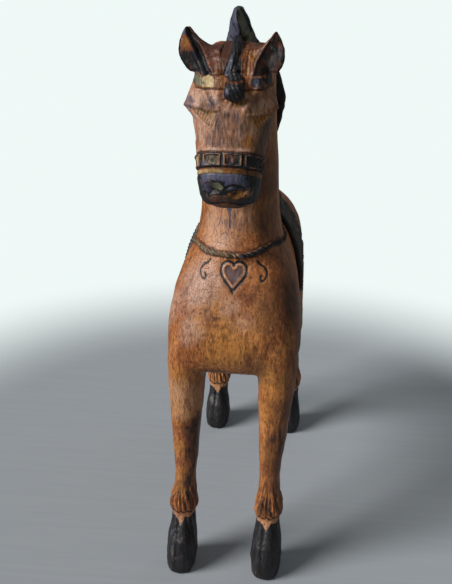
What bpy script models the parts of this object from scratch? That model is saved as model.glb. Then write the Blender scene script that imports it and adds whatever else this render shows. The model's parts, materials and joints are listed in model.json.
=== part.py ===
"""Carved wooden horse statue, standing, built as its blocks are joined on the bench.

Metres, +Z up, the horse faces -Y and its left side is +X. The statue is carved from separate blocks:
a body block, a neck block, a head block, two ear blocks, a forelock, a mane, a saddle, four legs and
a tail. Legs and tail have turned tenons, and every other joint is a flat glued face with dowels.
"""

import math

import bmesh
import bpy
import numpy as np
from mathutils import Vector

# Driving dimensions
GAP = 0.0003  # glue line between touching blocks
HIP_Z = 0.385  # plane where the legs meet the body
FRONT_LEG_Y = -0.150
HIND_LEG_Y = 0.290
FRONT_LEAN = -0.009  # the front feet stand this far towards the horse's right of their hips
HIND_LEAN = -0.003
EAR_TILT = 0.035  # the carver set both ears a little towards the horse's right
TENON_RADIUS = 0.017
TENON_LENGTH = 0.045
NECK_JOINT_POINT = (-0.150, 0.592)  # (y, z) on the glue face between body and neck
NECK_JOINT_RISE = 0.467  # how much that face climbs for each metre towards the tail
HEAD_JOINT_Y = -0.118  # upright glue face between neck and head
HEAD_SHELF_Z = 0.785  # the head's rear stands on this shelf of the neck
HEAD_TOP_Z = 0.917  # plane that carries the ears and the forelock
NECK_TOP_Z = 0.935
POLL_TOP_Z = 0.9545
MANE_LINE = ((0.042, 0.660), (-0.045, 0.945))  # (y, z) ends of the glue face behind the neck
JAW_BACK_Y = -0.139  # back of the jaw, under the shelf
CREST_REST_Y = -0.170  # behind here the mane's crest lies on the poll
MANE_FOOT_Z = 0.66
FORELOCK_HALF = 0.0177  # half the slot between the ears that the forelock fills
FORELOCK_STEP_Y = -0.2305  # in front of here the forelock hangs over the brow
CLOTH_THICKNESS = 0.0075
CLOTH_FRONT_Y = -0.030
CLOTH_BACK_Y = 0.200
HEM_Z = 0.470  # lower edge of the saddle cloth
HEM_CORNER = 0.020  # how much the hem rises at its corners
HEM_REAR_Y = 0.170
HEM_FRONT_Y = 0.020
HEM_CUT = ((-0.008, 0.490), (0.084, 0.680))  # (y, z) ends of the cloth's slanted front edge
FAR = 1.0  # reach of a cutting block, past everything

WOOD = ((0.30, 0.115, 0.045), 0.62)
DARK_WOOD = ((0.16, 0.055, 0.03), 0.6)
BLACK = ((0.028, 0.028, 0.033), 0.5)
SADDLE_BROWN = ((0.075, 0.045, 0.04), 0.6)
BEECH = ((0.55, 0.38, 0.22), 0.7)

# Barrel of the body: y, belly height, height of the widest line, back height, half width
BARREL = [
    (-0.2065, 0.441, 0.449, 0.460, 0.015),
    (-0.2035, 0.424, 0.444, 0.480, 0.050),
    (-0.196, 0.406, 0.440, 0.503, 0.082),
    (-0.182, 0.398, 0.438, 0.535, 0.100),
    (-0.158, 0.394, 0.438, 0.577, 0.1115),
    (-0.130, 0.393, 0.442, 0.610, 0.1155),
    (-0.080, 0.396, 0.452, 0.636, 0.1130),
    (-0.020, 0.402, 0.465, 0.642, 0.1060),
    (0.060, 0.406, 0.475, 0.630, 0.1000),
    (0.140, 0.408, 0.475, 0.612, 0.0965),
    (0.220, 0.402, 0.470, 0.604, 0.0955),
    (0.285, 0.394, 0.462, 0.594, 0.0960),
    (0.335, 0.394, 0.462, 0.566, 0.0900),
    (0.365, 0.408, 0.466, 0.532, 0.0730),
    (0.377, 0.430, 0.470, 0.505, 0.0450),
    (0.380, 0.452, 0.470, 0.488, 0.0150),
]

# Neck: z, front, back, half width
NECK = [
    (0.500, -0.160, 0.020, 0.070),
    (0.560, -0.156, 0.045, 0.080),
    (0.600, -0.148, 0.056, 0.075),
    (0.640, -0.134, 0.056, 0.0675),
    (0.690, -0.130, 0.048, 0.0655),
    (0.740, -0.134, 0.036, 0.0640),
    (0.790, -0.138, 0.025, 0.0605),
    (0.840, -0.138, 0.012, 0.0585),
    (0.890, -0.135, -0.002, 0.0570),
    (0.930, -0.130, -0.025, 0.0530),
    (0.955, -0.120, -0.055, 0.0400),
]

# Head: z, front, back, half width
HEAD = [
    (0.714, -0.236, -0.188, 0.026),
    (0.720, -0.250, -0.174, 0.038),
    (0.740, -0.268, -0.160, 0.0465),
    (0.760, -0.275, -0.150, 0.0500),
    (0.785, -0.273, -0.138, 0.0495),
    (0.805, -0.268, -0.112, 0.0520),
    (0.830, -0.260, -0.095, 0.0585),
    (0.855, -0.254, -0.090, 0.0620),
    (0.880, -0.247, -0.090, 0.0620),
    (0.905, -0.238, -0.090, 0.0605),
    (0.925, -0.230, -0.090, 0.0600),
]

# Front leg: z, centre x, centre y, half width, half depth
FRONT_LEG = [
    (0.000, 0.0775, -0.184, 0.0245, 0.0375),
    (0.004, 0.0775, -0.184, 0.0268, 0.0400),
    (0.030, 0.0775, -0.184, 0.0273, 0.0405),
    (0.065, 0.0775, -0.181, 0.0250, 0.0370),
    (0.100, 0.0775, -0.174, 0.0200, 0.0255),
    (0.113, 0.0775, -0.171, 0.0205, 0.0240),
    (0.119, 0.0775, -0.169, 0.0255, 0.0290),
    (0.134, 0.0775, -0.169, 0.0252, 0.0285),
    (0.160, 0.0765, -0.168, 0.0195, 0.0225),
    (0.190, 0.0755, -0.167, 0.0178, 0.0210),
    (0.225, 0.0755, -0.166, 0.0205, 0.0245),
    (0.258, 0.0765, -0.164, 0.0235, 0.0290),
    (0.300, 0.0770, -0.160, 0.0265, 0.0340),
    (0.345, 0.0780, -0.155, 0.0305, 0.0400),
    (HIP_Z, 0.0785, FRONT_LEG_Y, 0.0330, 0.0460),
]

# Hind leg: z, centre x, centre y, half width, half depth
HIND_LEG = [
    (0.000, 0.0800, 0.335, 0.0235, 0.0370),
    (0.004, 0.0800, 0.335, 0.0258, 0.0395),
    (0.025, 0.0800, 0.335, 0.0265, 0.0400),
    (0.055, 0.0800, 0.338, 0.0238, 0.0345),
    (0.078, 0.0800, 0.343, 0.0195, 0.0255),
    (0.098, 0.0800, 0.346, 0.0195, 0.0235),
    (0.105, 0.0800, 0.349, 0.0245, 0.0290),
    (0.120, 0.0800, 0.350, 0.0252, 0.0295),
    (0.145, 0.0800, 0.350, 0.0195, 0.0235),
    (0.175, 0.0800, 0.350, 0.0175, 0.0215),
    (0.215, 0.0800, 0.350, 0.0190, 0.0260),
    (0.250, 0.0800, 0.345, 0.0225, 0.0340),
    (0.290, 0.0775, 0.325, 0.0245, 0.0370),
    (0.340, 0.0740, 0.303, 0.0285, 0.0480),
    (HIP_Z, 0.0695, HIND_LEG_Y, 0.0320, 0.0600),
]

# Mane behind the neck: z, front, back, half width
MANE = [
    (0.660, -0.020, 0.066, 0.022),
    (0.700, -0.030, 0.074, 0.032),
    (0.740, -0.040, 0.066, 0.046),
    (0.780, -0.050, 0.058, 0.060),
    (0.825, -0.060, 0.048, 0.0695),
    (0.865, -0.075, 0.034, 0.0660),
    (0.905, -0.090, 0.014, 0.0460),
    (0.940, -0.125, -0.012, 0.0240),
    (0.962, -0.138, -0.036, 0.0175),
    (0.980, -0.146, -0.062, 0.0140),
    (0.993, -0.144, -0.085, 0.0105),
    (1.000, -0.136, -0.102, 0.0065),
]

# Poll between the ears: y, height over the head's top plane, half width
POLL = [
    (-0.226, 0.012, 0.040),
    (-0.215, 0.026, 0.052),
    (-0.195, 0.034, 0.056),
    (-0.160, 0.036, 0.057),
    (-0.118, 0.034, 0.056),
]

# Leaf of an ear seen from the front: x, z
EAR_LEAF = [
    (0.010, 0.900), (0.010, 0.951), (0.024, 0.951), (0.036, 0.953), (0.048, 0.960),
    (0.058, 0.970), (0.067, 0.983), (0.074, 0.971), (0.079, 0.957), (0.0803, 0.944),
    (0.077, 0.931), (0.069, 0.920), (0.060, 0.912), (0.050, 0.900),
]
EAR_FRONT_Y = -0.214
EAR_BACK_Y = -0.178
EAR_MIDDLE = (0.045, 0.930)
EAR_TAPER = 0.10  # how much smaller the back of the leaf is
EAR_LEAN = 0.19  # how far the leaf leans back for each metre that it rises

# Brow over each eye: corners of a faceted wedge on the horse's left side
BROW = [
    (0.0725, -0.214, 0.869),
    (0.0210, -0.259, 0.872),
    (0.0340, -0.2490, 0.842),
    (0.0430, -0.2330, 0.908),
    (0.0600, -0.1750, 0.906),
    (0.0590, -0.1550, 0.862),
    (0.0590, -0.1950, 0.845),
    (0.0150, -0.2000, 0.880),
]

# Forelock: y, underside, top, half width, and how far it curls to the horse's left
FORELOCK = [
    (-0.122, 0.900, 0.952, 0.0165, 0.0000),
    (-0.160, 0.900, 0.953, 0.0170, 0.0000),
    (-0.195, 0.895, 0.948, 0.0145, 0.0020),
    (-0.225, 0.888, 0.932, 0.0120, 0.0050),
    (-0.243, 0.882, 0.915, 0.0155, 0.0080),
    (-0.254, 0.884, 0.913, 0.0155, 0.0090),
    (-0.262, 0.890, 0.907, 0.0090, 0.0090),
]

# Saddle seat: y, height of the widest line, top, half width
SADDLE_SEAT = [
    (0.064, 0.560, 0.636, 0.046),
    (0.072, 0.560, 0.658, 0.068),
    (0.088, 0.560, 0.656, 0.074),
    (0.115, 0.560, 0.644, 0.074),
    (0.145, 0.560, 0.648, 0.068),
    (0.160, 0.560, 0.655, 0.060),
    (0.172, 0.560, 0.644, 0.046),
]

# Tail from the rump down: y, z, half width, half depth
TAIL = [
    (0.356, 0.516, 0.012, 0.012),
    (0.376, 0.531, 0.014, 0.014),
    (0.392, 0.538, 0.019, 0.018),
    (0.406, 0.530, 0.024, 0.022),
    (0.416, 0.505, 0.030, 0.025),
    (0.419, 0.465, 0.034, 0.026),
    (0.418, 0.405, 0.036, 0.026),
    (0.420, 0.345, 0.032, 0.023),
    (0.427, 0.290, 0.022, 0.016),
    (0.436, 0.245, 0.008, 0.008),
]
TAIL_TENON = ((0.332, 0.500), (0.384, 0.532), 0.009)  # start and end as (y, z), and radius


def clear_scene():
    for old in list(bpy.data.objects):
        bpy.data.objects.remove(old, do_unlink=True)


def finish_of(name, look):
    """A material of its own for one sub-part."""
    colour, roughness = look
    material = bpy.data.materials.new(name)
    material.use_nodes = True
    shader = material.node_tree.nodes["Principled BSDF"]
    shader.inputs["Base Color"].default_value = (*colour, 1.0)
    shader.inputs["Roughness"].default_value = roughness
    shader.inputs["Metallic"].default_value = 0.0
    return material


def new_object(name, shape):
    """Makes an object of a bmesh, with its faces pointing out."""
    bmesh.ops.recalc_face_normals(shape, faces=shape.faces)
    mesh = bpy.data.meshes.new(name)
    shape.to_mesh(mesh)
    shape.free()
    mesh.shade_smooth()
    mesh.set_sharp_from_angle(angle=math.radians(35))
    made = bpy.data.objects.new(name, mesh)
    bpy.context.scene.collection.objects.link(made)
    return made


def part(made, look):
    """Marks an object as a sub-part, with its material, under the statue's root."""
    made.data.materials.append(finish_of(made.name, look))
    made.parent = ROOT
    return made


def tool(made):
    """Marks an object as a cutter or a helper, which isn't part of the statue."""
    made.hide_render = True
    made.display_type = "WIRE"
    made.parent = ROOT
    return made


def combine(target, other, operation):
    """Adds an exact Boolean of target with a helper object."""
    modifier = target.modifiers.new(f"{operation.lower()} {other.name}", "BOOLEAN")
    modifier.operation = operation
    modifier.solver = "EXACT"
    modifier.object = other
    return target


def spline(stations, count, eased=False):
    """Stations read at count steps of their first column, on a smooth curve through them all.
    Eased steps crowd towards both ends, for a form that rounds off there."""
    keys = np.array(stations, float)
    along, rest = keys[:, 0], keys[:, 1:]
    slopes = np.gradient(rest, along, axis=0)
    share = np.linspace(0, 1, count)
    if eased:
        share = (1 - np.cos(math.pi * share)) / 2
    at = along[0] + (along[-1] - along[0]) * share
    i = np.clip(np.searchsorted(along, at, side="right") - 1, 0, len(along) - 2)
    span = (along[i + 1] - along[i])[:, None]
    t = ((at - along[i]) / span[:, 0])[:, None]
    value = (
        (1 + 2 * t) * (1 - t) ** 2 * rest[i]
        + t * (1 - t) ** 2 * span * slopes[i]
        + t**2 * (3 - 2 * t) * rest[i + 1]
        - t**2 * (1 - t) * span * slopes[i + 1]
    )
    return np.column_stack([at, value])


def super_ring(count, power):
    """Points (a, b) of a superellipse of half size 1, anticlockwise from +a."""
    angles = np.linspace(0, 2 * math.pi, count, endpoint=False)
    c, s = np.cos(angles), np.sin(angles)
    return np.sign(c) * abs(c) ** (2 / power), np.sign(s) * abs(s) ** (2 / power)


def loft(name, rings):
    """A closed skin through rings of points, capped at both ends."""
    shape = bmesh.new()
    loops = [[shape.verts.new(point) for point in ring] for ring in rings]
    for low, high in zip(loops, loops[1:]):
        for k in range(len(low)):
            following = (k + 1) % len(low)
            shape.faces.new((low[k], low[following], high[following], high[k]))
    shape.faces.new(loops[0][::-1])
    shape.faces.new(loops[-1])
    return new_object(name, shape)


def level_loft(name, stations, count=24, power=2.4, side=1, lean=0.0):
    """A loft through level rings: z, centre x, centre y, half width, half depth. It leans below the hips."""
    a, b = super_ring(count, power)
    rings = []
    for z, x, y, half_x, half_y in stations:
        shift = lean * max(0.0, 1 - z / HIP_Z)
        rings.append(np.column_stack([side * (x + half_x * a) + shift, y + half_y * b, np.full(count, z)]))
    return loft(name, rings)


def fore_and_aft(stations):
    """Level stations for z, front, back, half width."""
    return [(z, 0.0, (front + back) / 2, half, (back - front) / 2) for z, front, back, half in stations]


def barrel_rings(stations, grow=0.0, count=28):
    """Upright rings of the barrel, fuller below its widest line than above it."""
    over_a, over_b = super_ring(count, 2.15)
    under_a, under_b = super_ring(count, 3.0)
    rings = []
    for y, low, middle, high, half in stations:
        upper = over_b >= 0
        x = np.where(upper, over_a, under_a) * (half + grow)
        z = middle + np.where(upper, over_b * (high + grow - middle), under_b * (middle - low + grow))
        rings.append(np.column_stack([x, np.full(count, y), z]))
    return rings


def hull(name, points):
    """The convex hull of a few corners, for chiselled facets."""
    shape = bmesh.new()
    for point in points:
        shape.verts.new(point)
    found = bmesh.ops.convex_hull(shape, input=shape.verts)
    spare = [v for v in found["geom_interior"] if isinstance(v, bmesh.types.BMVert)]
    bmesh.ops.delete(shape, geom=spare, context="VERTS")
    return new_object(name, shape)


def prism(name, outline, half_width=FAR, centre_x=0.0):
    """An outline of (y, z) corners, carried across the statue."""
    rings = [[(centre_x + x, y, z) for y, z in outline] for x in (-half_width, half_width)]
    return loft(name, rings)


def rod(name, start, end, radius, sides=16):
    """A round rod between two points."""
    start, end = Vector(start), Vector(end)
    shape = bmesh.new()
    bmesh.ops.create_cone(
        shape, cap_ends=True, segments=sides, radius1=radius, radius2=radius, depth=(end - start).length
    )
    turn = (end - start).to_track_quat("Z", "Y").to_matrix().to_4x4()
    turn.translation = (start + end) / 2
    bmesh.ops.transform(shape, matrix=turn, verts=shape.verts)
    return new_object(name, shape)


def longer(start, end, extra):
    """The two ends moved apart by extra each."""
    start, end = Vector(start), Vector(end)
    step = (end - start).normalized() * extra
    return start - step, end + step


def dowel(name, start, end, radius, *blocks):
    """A loose dowel, and its bore through each block that it joins."""
    part(rod(name, start, end, radius), BEECH)
    bore = tool(rod(f"{name}_bore", *longer(start, end, 2 * GAP), radius + GAP))
    for block in blocks:
        combine(block, bore, "DIFFERENCE")


def neck_joint_z(y):
    return NECK_JOINT_POINT[1] + NECK_JOINT_RISE * (y - NECK_JOINT_POINT[0])


def over_neck_joint(shift):
    """Everything above the glue face between body and neck, moved up by shift."""
    return [
        (-FAR, neck_joint_z(-FAR) + shift),
        (FAR, neck_joint_z(FAR) + shift),
        (FAR, 2 * FAR),
        (-FAR, 2 * FAR),
    ]


def under_neck_joint():
    return [(-FAR, neck_joint_z(-FAR)), (-FAR, -FAR), (FAR, -FAR), (FAR, neck_joint_z(FAR))]


def mane_line_y(z):
    (low_y, low_z), (high_y, high_z) = MANE_LINE
    return low_y + (high_y - low_y) * (z - low_z) / (high_z - low_z)


def make_torso(name):
    """Barrel, neck and leg stumps in one, from which the body and neck blocks are both cut."""
    torso = loft(name, barrel_rings(spline(BARREL, 26, eased=True)))
    neck = level_loft(f"{name}_neck", fore_and_aft(spline(NECK, 14)), count=28, power=2.3)
    combine(torso, tool(neck), "UNION")
    return torso


def make_stump(side, top, name):
    """The root of a leg, carved on the body block: it widens from the hip plane into the barrel."""
    _, x, y, half_x, half_y = top
    stations = [
        (HIP_Z, x, y, half_x, half_y),
        (HIP_Z + 0.025, x - 0.001, y, half_x + 0.002, half_y + 0.004),
        (HIP_Z + 0.060, x - 0.006, y, half_x + 0.001, half_y + 0.004),
        (HIP_Z + 0.090, x - 0.014, y, half_x - 0.003, half_y - 0.002),
        (HIP_Z + 0.110, x - 0.022, y, half_x - 0.010, half_y - 0.014),
    ]
    return tool(level_loft(name, stations, count=20, side=side))


def make_body():
    body = make_torso("body_block")
    for side, hand in ((1, "left"), (-1, "right")):
        for stations, end in ((FRONT_LEG, "front"), (HIND_LEG, "hind")):
            combine(body, make_stump(side, stations[-1], f"stump_{end}_{hand}"), "UNION")
            x, y = side * stations[-1][1], stations[-1][2]
            mortise = rod(
                f"mortise_{end}_{hand}",
                (x, y, HIP_Z - 0.01),
                (x, y, HIP_Z + TENON_LENGTH + 2 * GAP),
                TENON_RADIUS + GAP,
                24,
            )
            combine(body, tool(mortise), "DIFFERENCE")
    combine(body, tool(prism("over_body", over_neck_joint(-GAP / 2))), "DIFFERENCE")
    start, end, radius = TAIL_TENON
    bore = rod("tail_mortise", *longer((0, *start), (0, *end), 2 * GAP), radius + GAP)
    combine(body, tool(bore), "DIFFERENCE")
    return part(body, WOOD)


def make_necklace_band():
    """The raised collar that the rope necklace is carved on."""
    stations = [row for row in spline(NECK, 90) if 0.596 < row[0] < 0.613]
    grown = [(z, front - 0.0035, back, half + 0.0035) for z, front, back, half in stations]
    return tool(level_loft("necklace_band", fore_and_aft(grown), count=28, power=2.3))


def make_neck():
    neck = make_torso("neck_block")
    combine(neck, make_necklace_band(), "UNION")
    combine(neck, tool(prism("under_neck", under_neck_joint())), "DIFFERENCE")
    behind = [
        (mane_line_y(-FAR), -FAR),
        (FAR, -FAR),
        (FAR, 2 * FAR),
        (-FAR, 2 * FAR),
        (-FAR, NECK_TOP_Z),
        (mane_line_y(NECK_TOP_Z), NECK_TOP_Z),
    ]
    combine(neck, tool(prism("behind_neck", behind)), "DIFFERENCE")
    front = [
        (HEAD_JOINT_Y, HEAD_SHELF_Z),
        (HEAD_JOINT_Y, FAR),
        (-FAR, FAR),
        (-FAR, HEAD_SHELF_Z),
    ]
    combine(neck, tool(prism("head_seat", front)), "DIFFERENCE")
    return part(neck, WOOD)


def head_loft(name, grow=0.0):
    stations = [(z, f - grow, b, h + grow) for z, f, b, h in spline(HEAD, 16)]
    return level_loft(name, fore_and_aft(stations), count=24, power=2.6)


def make_head():
    head = head_loft("head_block")
    for side, hand in ((1, "left"), (-1, "right")):
        brow = hull(f"brow_{hand}", [(side * x, y, z) for x, y, z in BROW])
        combine(head, tool(brow), "UNION")
    band = [row for row in spline(HEAD, 120) if 0.788 < row[0] < 0.815]
    grown = [(z, front - 0.0025, back, half + 0.0025) for z, front, back, half in band]
    noseband = level_loft("noseband", fore_and_aft(grown), count=24, power=2.6)
    combine(head, tool(noseband), "UNION")
    rear = [
        (HEAD_JOINT_Y - GAP, HEAD_SHELF_Z + GAP),
        (HEAD_JOINT_Y - GAP, 2 * FAR),
        (FAR, 2 * FAR),
        (FAR, -FAR),
        (JAW_BACK_Y, -FAR),
        (JAW_BACK_Y, HEAD_SHELF_Z + GAP),
    ]
    combine(head, tool(prism("behind_head", rear)), "DIFFERENCE")
    top = [(-FAR, HEAD_TOP_Z), (FAR, HEAD_TOP_Z), (FAR, FAR), (-FAR, FAR)]
    combine(head, tool(prism("over_head", top)), "DIFFERENCE")
    return part(head, WOOD)


def make_ear(side, hand):
    """One ear with its half of the poll."""
    count = 24
    a, b = super_ring(count, 2.2)
    rings = []
    for y, rise, half in spline(POLL, 9):
        rings.append(np.column_stack([half * a, np.full(count, y), HEAD_TOP_Z + rise * b]))
    ear = loft(f"ear_{hand}", rings)
    middle_x, middle_z = EAR_MIDDLE
    leaf_rings = []
    for y, taper in ((EAR_FRONT_Y, 0.0), (EAR_BACK_Y, EAR_TAPER)):
        ring = []
        for x, z in EAR_LEAF:
            x = side * (x + taper * (middle_x - x))
            z = z + taper * (middle_z - z)
            rise = z - EAR_LEAF[0][1]
            ring.append((x - EAR_TILT * rise, y + EAR_LEAN * rise, z - EAR_TILT * x))
        leaf_rings.append(ring)
    combine(ear, tool(loft(f"leaf_{hand}", leaf_rings)), "UNION")
    under = [(-FAR, HEAD_TOP_Z + GAP), (-FAR, -FAR), (FAR, -FAR), (FAR, HEAD_TOP_Z + GAP)]
    combine(ear, tool(prism(f"under_ear_{hand}", under)), "DIFFERENCE")
    inner = [(-FAR, -FAR), (FAR, -FAR), (FAR, 2 * FAR), (-FAR, 2 * FAR)]
    limit = FORELOCK_HALF + GAP
    block = prism(f"beside_ear_{hand}", inner, half_width=FAR, centre_x=side * (limit - FAR))
    combine(ear, tool(block), "DIFFERENCE")
    rear = [(HEAD_JOINT_Y - GAP, -FAR), (FAR, -FAR), (FAR, 2 * FAR), (HEAD_JOINT_Y - GAP, 2 * FAR)]
    combine(ear, tool(prism(f"behind_ear_{hand}", rear)), "DIFFERENCE")
    over = [
        (CREST_REST_Y, POLL_TOP_Z - GAP),
        (FAR, POLL_TOP_Z - GAP),
        (FAR, 2 * FAR),
        (CREST_REST_Y, 2 * FAR),
    ]
    combine(ear, tool(prism(f"over_ear_{hand}", over)), "DIFFERENCE")
    return part(ear, DARK_WOOD)


def make_forelock():
    count = 16
    a, b = super_ring(count, 2.3)
    rings = []
    for y, low, high, half, curl in FORELOCK:
        z = (low + high) / 2 + (high - low) / 2 * b
        rings.append(np.column_stack([curl + half * a, np.full(count, y), z]))
    forelock = loft("forelock", rings)
    combine(forelock, tool(head_loft("forelock_seat", GAP)), "DIFFERENCE")
    floor = [
        (FORELOCK_STEP_Y, HEAD_TOP_Z + GAP),
        (FORELOCK_STEP_Y, -FAR),
        (FAR, -FAR),
        (FAR, HEAD_TOP_Z + GAP),
    ]
    combine(forelock, tool(prism("under_forelock", floor)), "DIFFERENCE")
    return part(forelock, BLACK)


def make_mane():
    mane = level_loft("mane", fore_and_aft(spline(MANE, 18)), count=24, power=2.2)
    bottom = neck_joint_z(mane_line_y(MANE_FOOT_Z)) - 0.05
    front = [
        (-FAR, POLL_TOP_Z),
        (-FAR, -FAR),
        (mane_line_y(bottom) + GAP, -FAR),
        (mane_line_y(bottom) + GAP, bottom),
        (mane_line_y(NECK_TOP_Z + GAP) + GAP, NECK_TOP_Z + GAP),
        (HEAD_JOINT_Y + GAP, NECK_TOP_Z + GAP),
        (HEAD_JOINT_Y + GAP, POLL_TOP_Z),
    ]
    combine(mane, tool(prism("before_mane", front)), "DIFFERENCE")
    under = [(y, z + GAP) for y, z in under_neck_joint()]
    combine(mane, tool(prism("under_mane", under)), "DIFFERENCE")
    return part(mane, BLACK)


def make_saddle():
    """Saddle cloth over the back with the seat on it, hollowed underneath to fit the barrel."""
    stations = [row for row in spline(BARREL, 60) if CLOTH_FRONT_Y < row[0] < CLOTH_BACK_Y]
    saddle = loft("saddle", barrel_rings(stations[::2], CLOTH_THICKNESS))
    a, b = super_ring(20, 2.3)
    rings = []
    for y, middle, high, half in SADDLE_SEAT:
        rings.append(np.column_stack([half * a, np.full(20, y), middle + (high - middle) * b]))
    combine(saddle, tool(loft("saddle_seat", rings)), "UNION")
    hem = [
        (-FAR, -FAR),
        (FAR, -FAR),
        (FAR, HEM_Z + HEM_CORNER),
        (HEM_REAR_Y, HEM_Z),
        (HEM_FRONT_Y, HEM_Z),
        HEM_CUT[0],
        HEM_CUT[1],
        (HEM_CUT[1][0], 2 * FAR),
        (-FAR, 2 * FAR),
    ]
    combine(saddle, tool(prism("saddle_front", hem)), "DIFFERENCE")
    hollow = loft("saddle_hollow", barrel_rings(spline(BARREL, 26, eased=True), 2 * GAP))
    combine(saddle, tool(hollow), "DIFFERENCE")
    return part(saddle, SADDLE_BROWN)


def make_leg(stations, side, lean, name):
    leg = level_loft(name, stations, count=20, power=2.5, side=side, lean=lean)
    x, y = side * stations[-1][1], stations[-1][2]
    tenon = rod(f"{name}_tenon", (x, y, HIP_Z - 0.01), (x, y, HIP_Z + TENON_LENGTH - GAP), TENON_RADIUS, 24)
    combine(leg, tool(tenon), "UNION")
    shoulder = rod(f"{name}_shoulder", (x, y, HIP_Z - GAP), (x, y, HIP_Z + 0.001), 0.09, 24)
    ring = rod(f"{name}_ring", (x, y, HIP_Z - 0.02), (x, y, HIP_Z + 0.02), TENON_RADIUS, 24)
    combine(tool(shoulder), tool(ring), "DIFFERENCE")
    combine(leg, shoulder, "DIFFERENCE")
    return part(leg, WOOD)


def make_tail():
    count = 16
    a, b = super_ring(count, 2.2)
    path = np.array(TAIL)
    steps = np.gradient(path[:, :2], axis=0)
    steps /= np.linalg.norm(steps, axis=1)[:, None]
    rings = []
    for (y, z, half_x, half_depth), (dy, dz) in zip(TAIL, steps):
        offset = half_depth * b
        rings.append(np.column_stack([half_x * a, y + offset * dz, z - offset * dy]))
    tail = loft("tail", rings)
    seat = loft("tail_seat", barrel_rings(spline(BARREL, 26, eased=True), GAP))
    combine(tail, tool(seat), "DIFFERENCE")
    start, end, radius = TAIL_TENON
    combine(tail, tool(rod("tail_tenon", (0, *start), (0, *end), radius)), "UNION")
    return part(tail, BLACK)


def add_dowels(body, neck, head, ears, forelock, mane, saddle):
    """Loose dowels in every glued face."""
    rise = math.atan(NECK_JOINT_RISE)
    normal = Vector((0, -math.sin(rise), math.cos(rise)))
    for side, hand in ((1, "left"), (-1, "right")):
        middle = Vector((side * 0.032, -0.045, neck_joint_z(-0.045)))
        dowel(f"neck_dowel_{hand}", middle - 0.035 * normal, middle + 0.035 * normal, 0.008, body, neck)
        foot = (side * 0.040, -0.160, HEAD_TOP_Z - 0.024)
        tip = (side * 0.040, -0.160, HEAD_TOP_Z + 0.018)
        dowel(f"ear_dowel_{hand}", foot, tip, 0.005, head, ears[hand])
    for z, where in ((0.835, "lower"), (0.885, "upper")):
        start = (0, HEAD_JOINT_Y - 0.035, z)
        dowel(f"head_dowel_{where}", start, (0, HEAD_JOINT_Y + 0.030, z), 0.007, head, neck)
    dowel("forelock_dowel", (0, -0.165, HEAD_TOP_Z - 0.020), (0, -0.165, HEAD_TOP_Z + 0.018), 0.004, head, forelock)
    (low_y, low_z), (high_y, high_z) = MANE_LINE
    along = Vector((0, high_y - low_y, high_z - low_z)).normalized()
    back = Vector((0, along.z, -along.y))
    for z, where in ((0.750, "lower"), (0.860, "upper")):
        middle = Vector((0, mane_line_y(z), z))
        dowel(f"mane_dowel_{where}", middle - 0.026 * back, middle + 0.018 * back, 0.006, neck, mane)
    for y, where in ((0.095, "front"), (0.150, "rear")):
        dowel(f"saddle_dowel_{where}", (0, y, 0.590), (0, y, 0.640), 0.005, body, saddle)


def centre_on_box():
    """Moves the root so that the statue stands with its bounding box centred on the origin."""
    bpy.context.view_layer.update()
    graph = bpy.context.evaluated_depsgraph_get()
    reach = []
    for made in ROOT.children:
        if not made.hide_render:
            shown = made.evaluated_get(graph)
            reach += [(shown.matrix_world @ Vector(corner)).y for corner in shown.bound_box]
    ROOT.location.y = -(min(reach) + max(reach)) / 2


clear_scene()
ROOT = bpy.data.objects.new("statue", None)
bpy.context.scene.collection.objects.link(ROOT)
body_block = make_body()
neck_block = make_neck()
head_block = make_head()
ear_blocks = {"left": make_ear(1, "left"), "right": make_ear(-1, "right")}
forelock_block = make_forelock()
mane_block = make_mane()
saddle_block = make_saddle()
for hand_side, hand_name in ((1, "left"), (-1, "right")):
    make_leg(FRONT_LEG, hand_side, FRONT_LEAN, f"leg_front_{hand_name}")
    make_leg(HIND_LEG, hand_side, HIND_LEAN, f"leg_hind_{hand_name}")
make_tail()
add_dowels(body_block, neck_block, head_block, ear_blocks, forelock_block, mane_block, saddle_block)
centre_on_box()
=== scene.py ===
"""Looks of the carved wooden horse statue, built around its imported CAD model.

Each wooden piece starts as its CAD solids, read into a grid of distances. The grid is smoothed and cut
as clay would be and then skinned. The skin is carved by moving its points, and painted by masks on
those points, which the wood material reads. Metres, +Z up, and the horse faces -Y.
"""

import itertools
import json
import math

import bmesh
import bpy
import numpy as np
import openvdb as vdb
from mathutils import Matrix, Vector


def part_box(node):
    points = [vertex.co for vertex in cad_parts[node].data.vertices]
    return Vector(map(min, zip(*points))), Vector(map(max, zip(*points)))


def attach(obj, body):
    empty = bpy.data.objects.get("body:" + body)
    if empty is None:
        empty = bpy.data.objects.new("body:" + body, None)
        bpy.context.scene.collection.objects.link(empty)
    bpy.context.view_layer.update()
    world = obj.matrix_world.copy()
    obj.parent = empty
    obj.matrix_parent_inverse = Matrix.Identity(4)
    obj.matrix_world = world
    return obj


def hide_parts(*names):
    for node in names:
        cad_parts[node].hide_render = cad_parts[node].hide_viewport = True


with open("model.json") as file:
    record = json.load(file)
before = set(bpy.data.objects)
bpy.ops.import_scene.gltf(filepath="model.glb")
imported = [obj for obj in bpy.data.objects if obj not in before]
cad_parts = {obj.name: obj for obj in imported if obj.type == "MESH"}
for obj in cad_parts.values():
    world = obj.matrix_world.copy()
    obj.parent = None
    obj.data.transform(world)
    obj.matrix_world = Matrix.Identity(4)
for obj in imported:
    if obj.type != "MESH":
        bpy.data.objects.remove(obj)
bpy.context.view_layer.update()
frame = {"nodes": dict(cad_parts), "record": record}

BAND = 0.018  # how far from a surface its distances are kept
HIP_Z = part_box("body_block")[0].z
NECKLACE_Z = 0.6025  # the lowest point of the rope on the chest
FRONT_PASTERN_Z = 0.1085
HIND_PASTERN_Z = 0.095
TRUNK = ("body_block", "neck_block", "leg_front_left", "leg_front_right", "leg_hind_left", "leg_hind_right")
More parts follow.
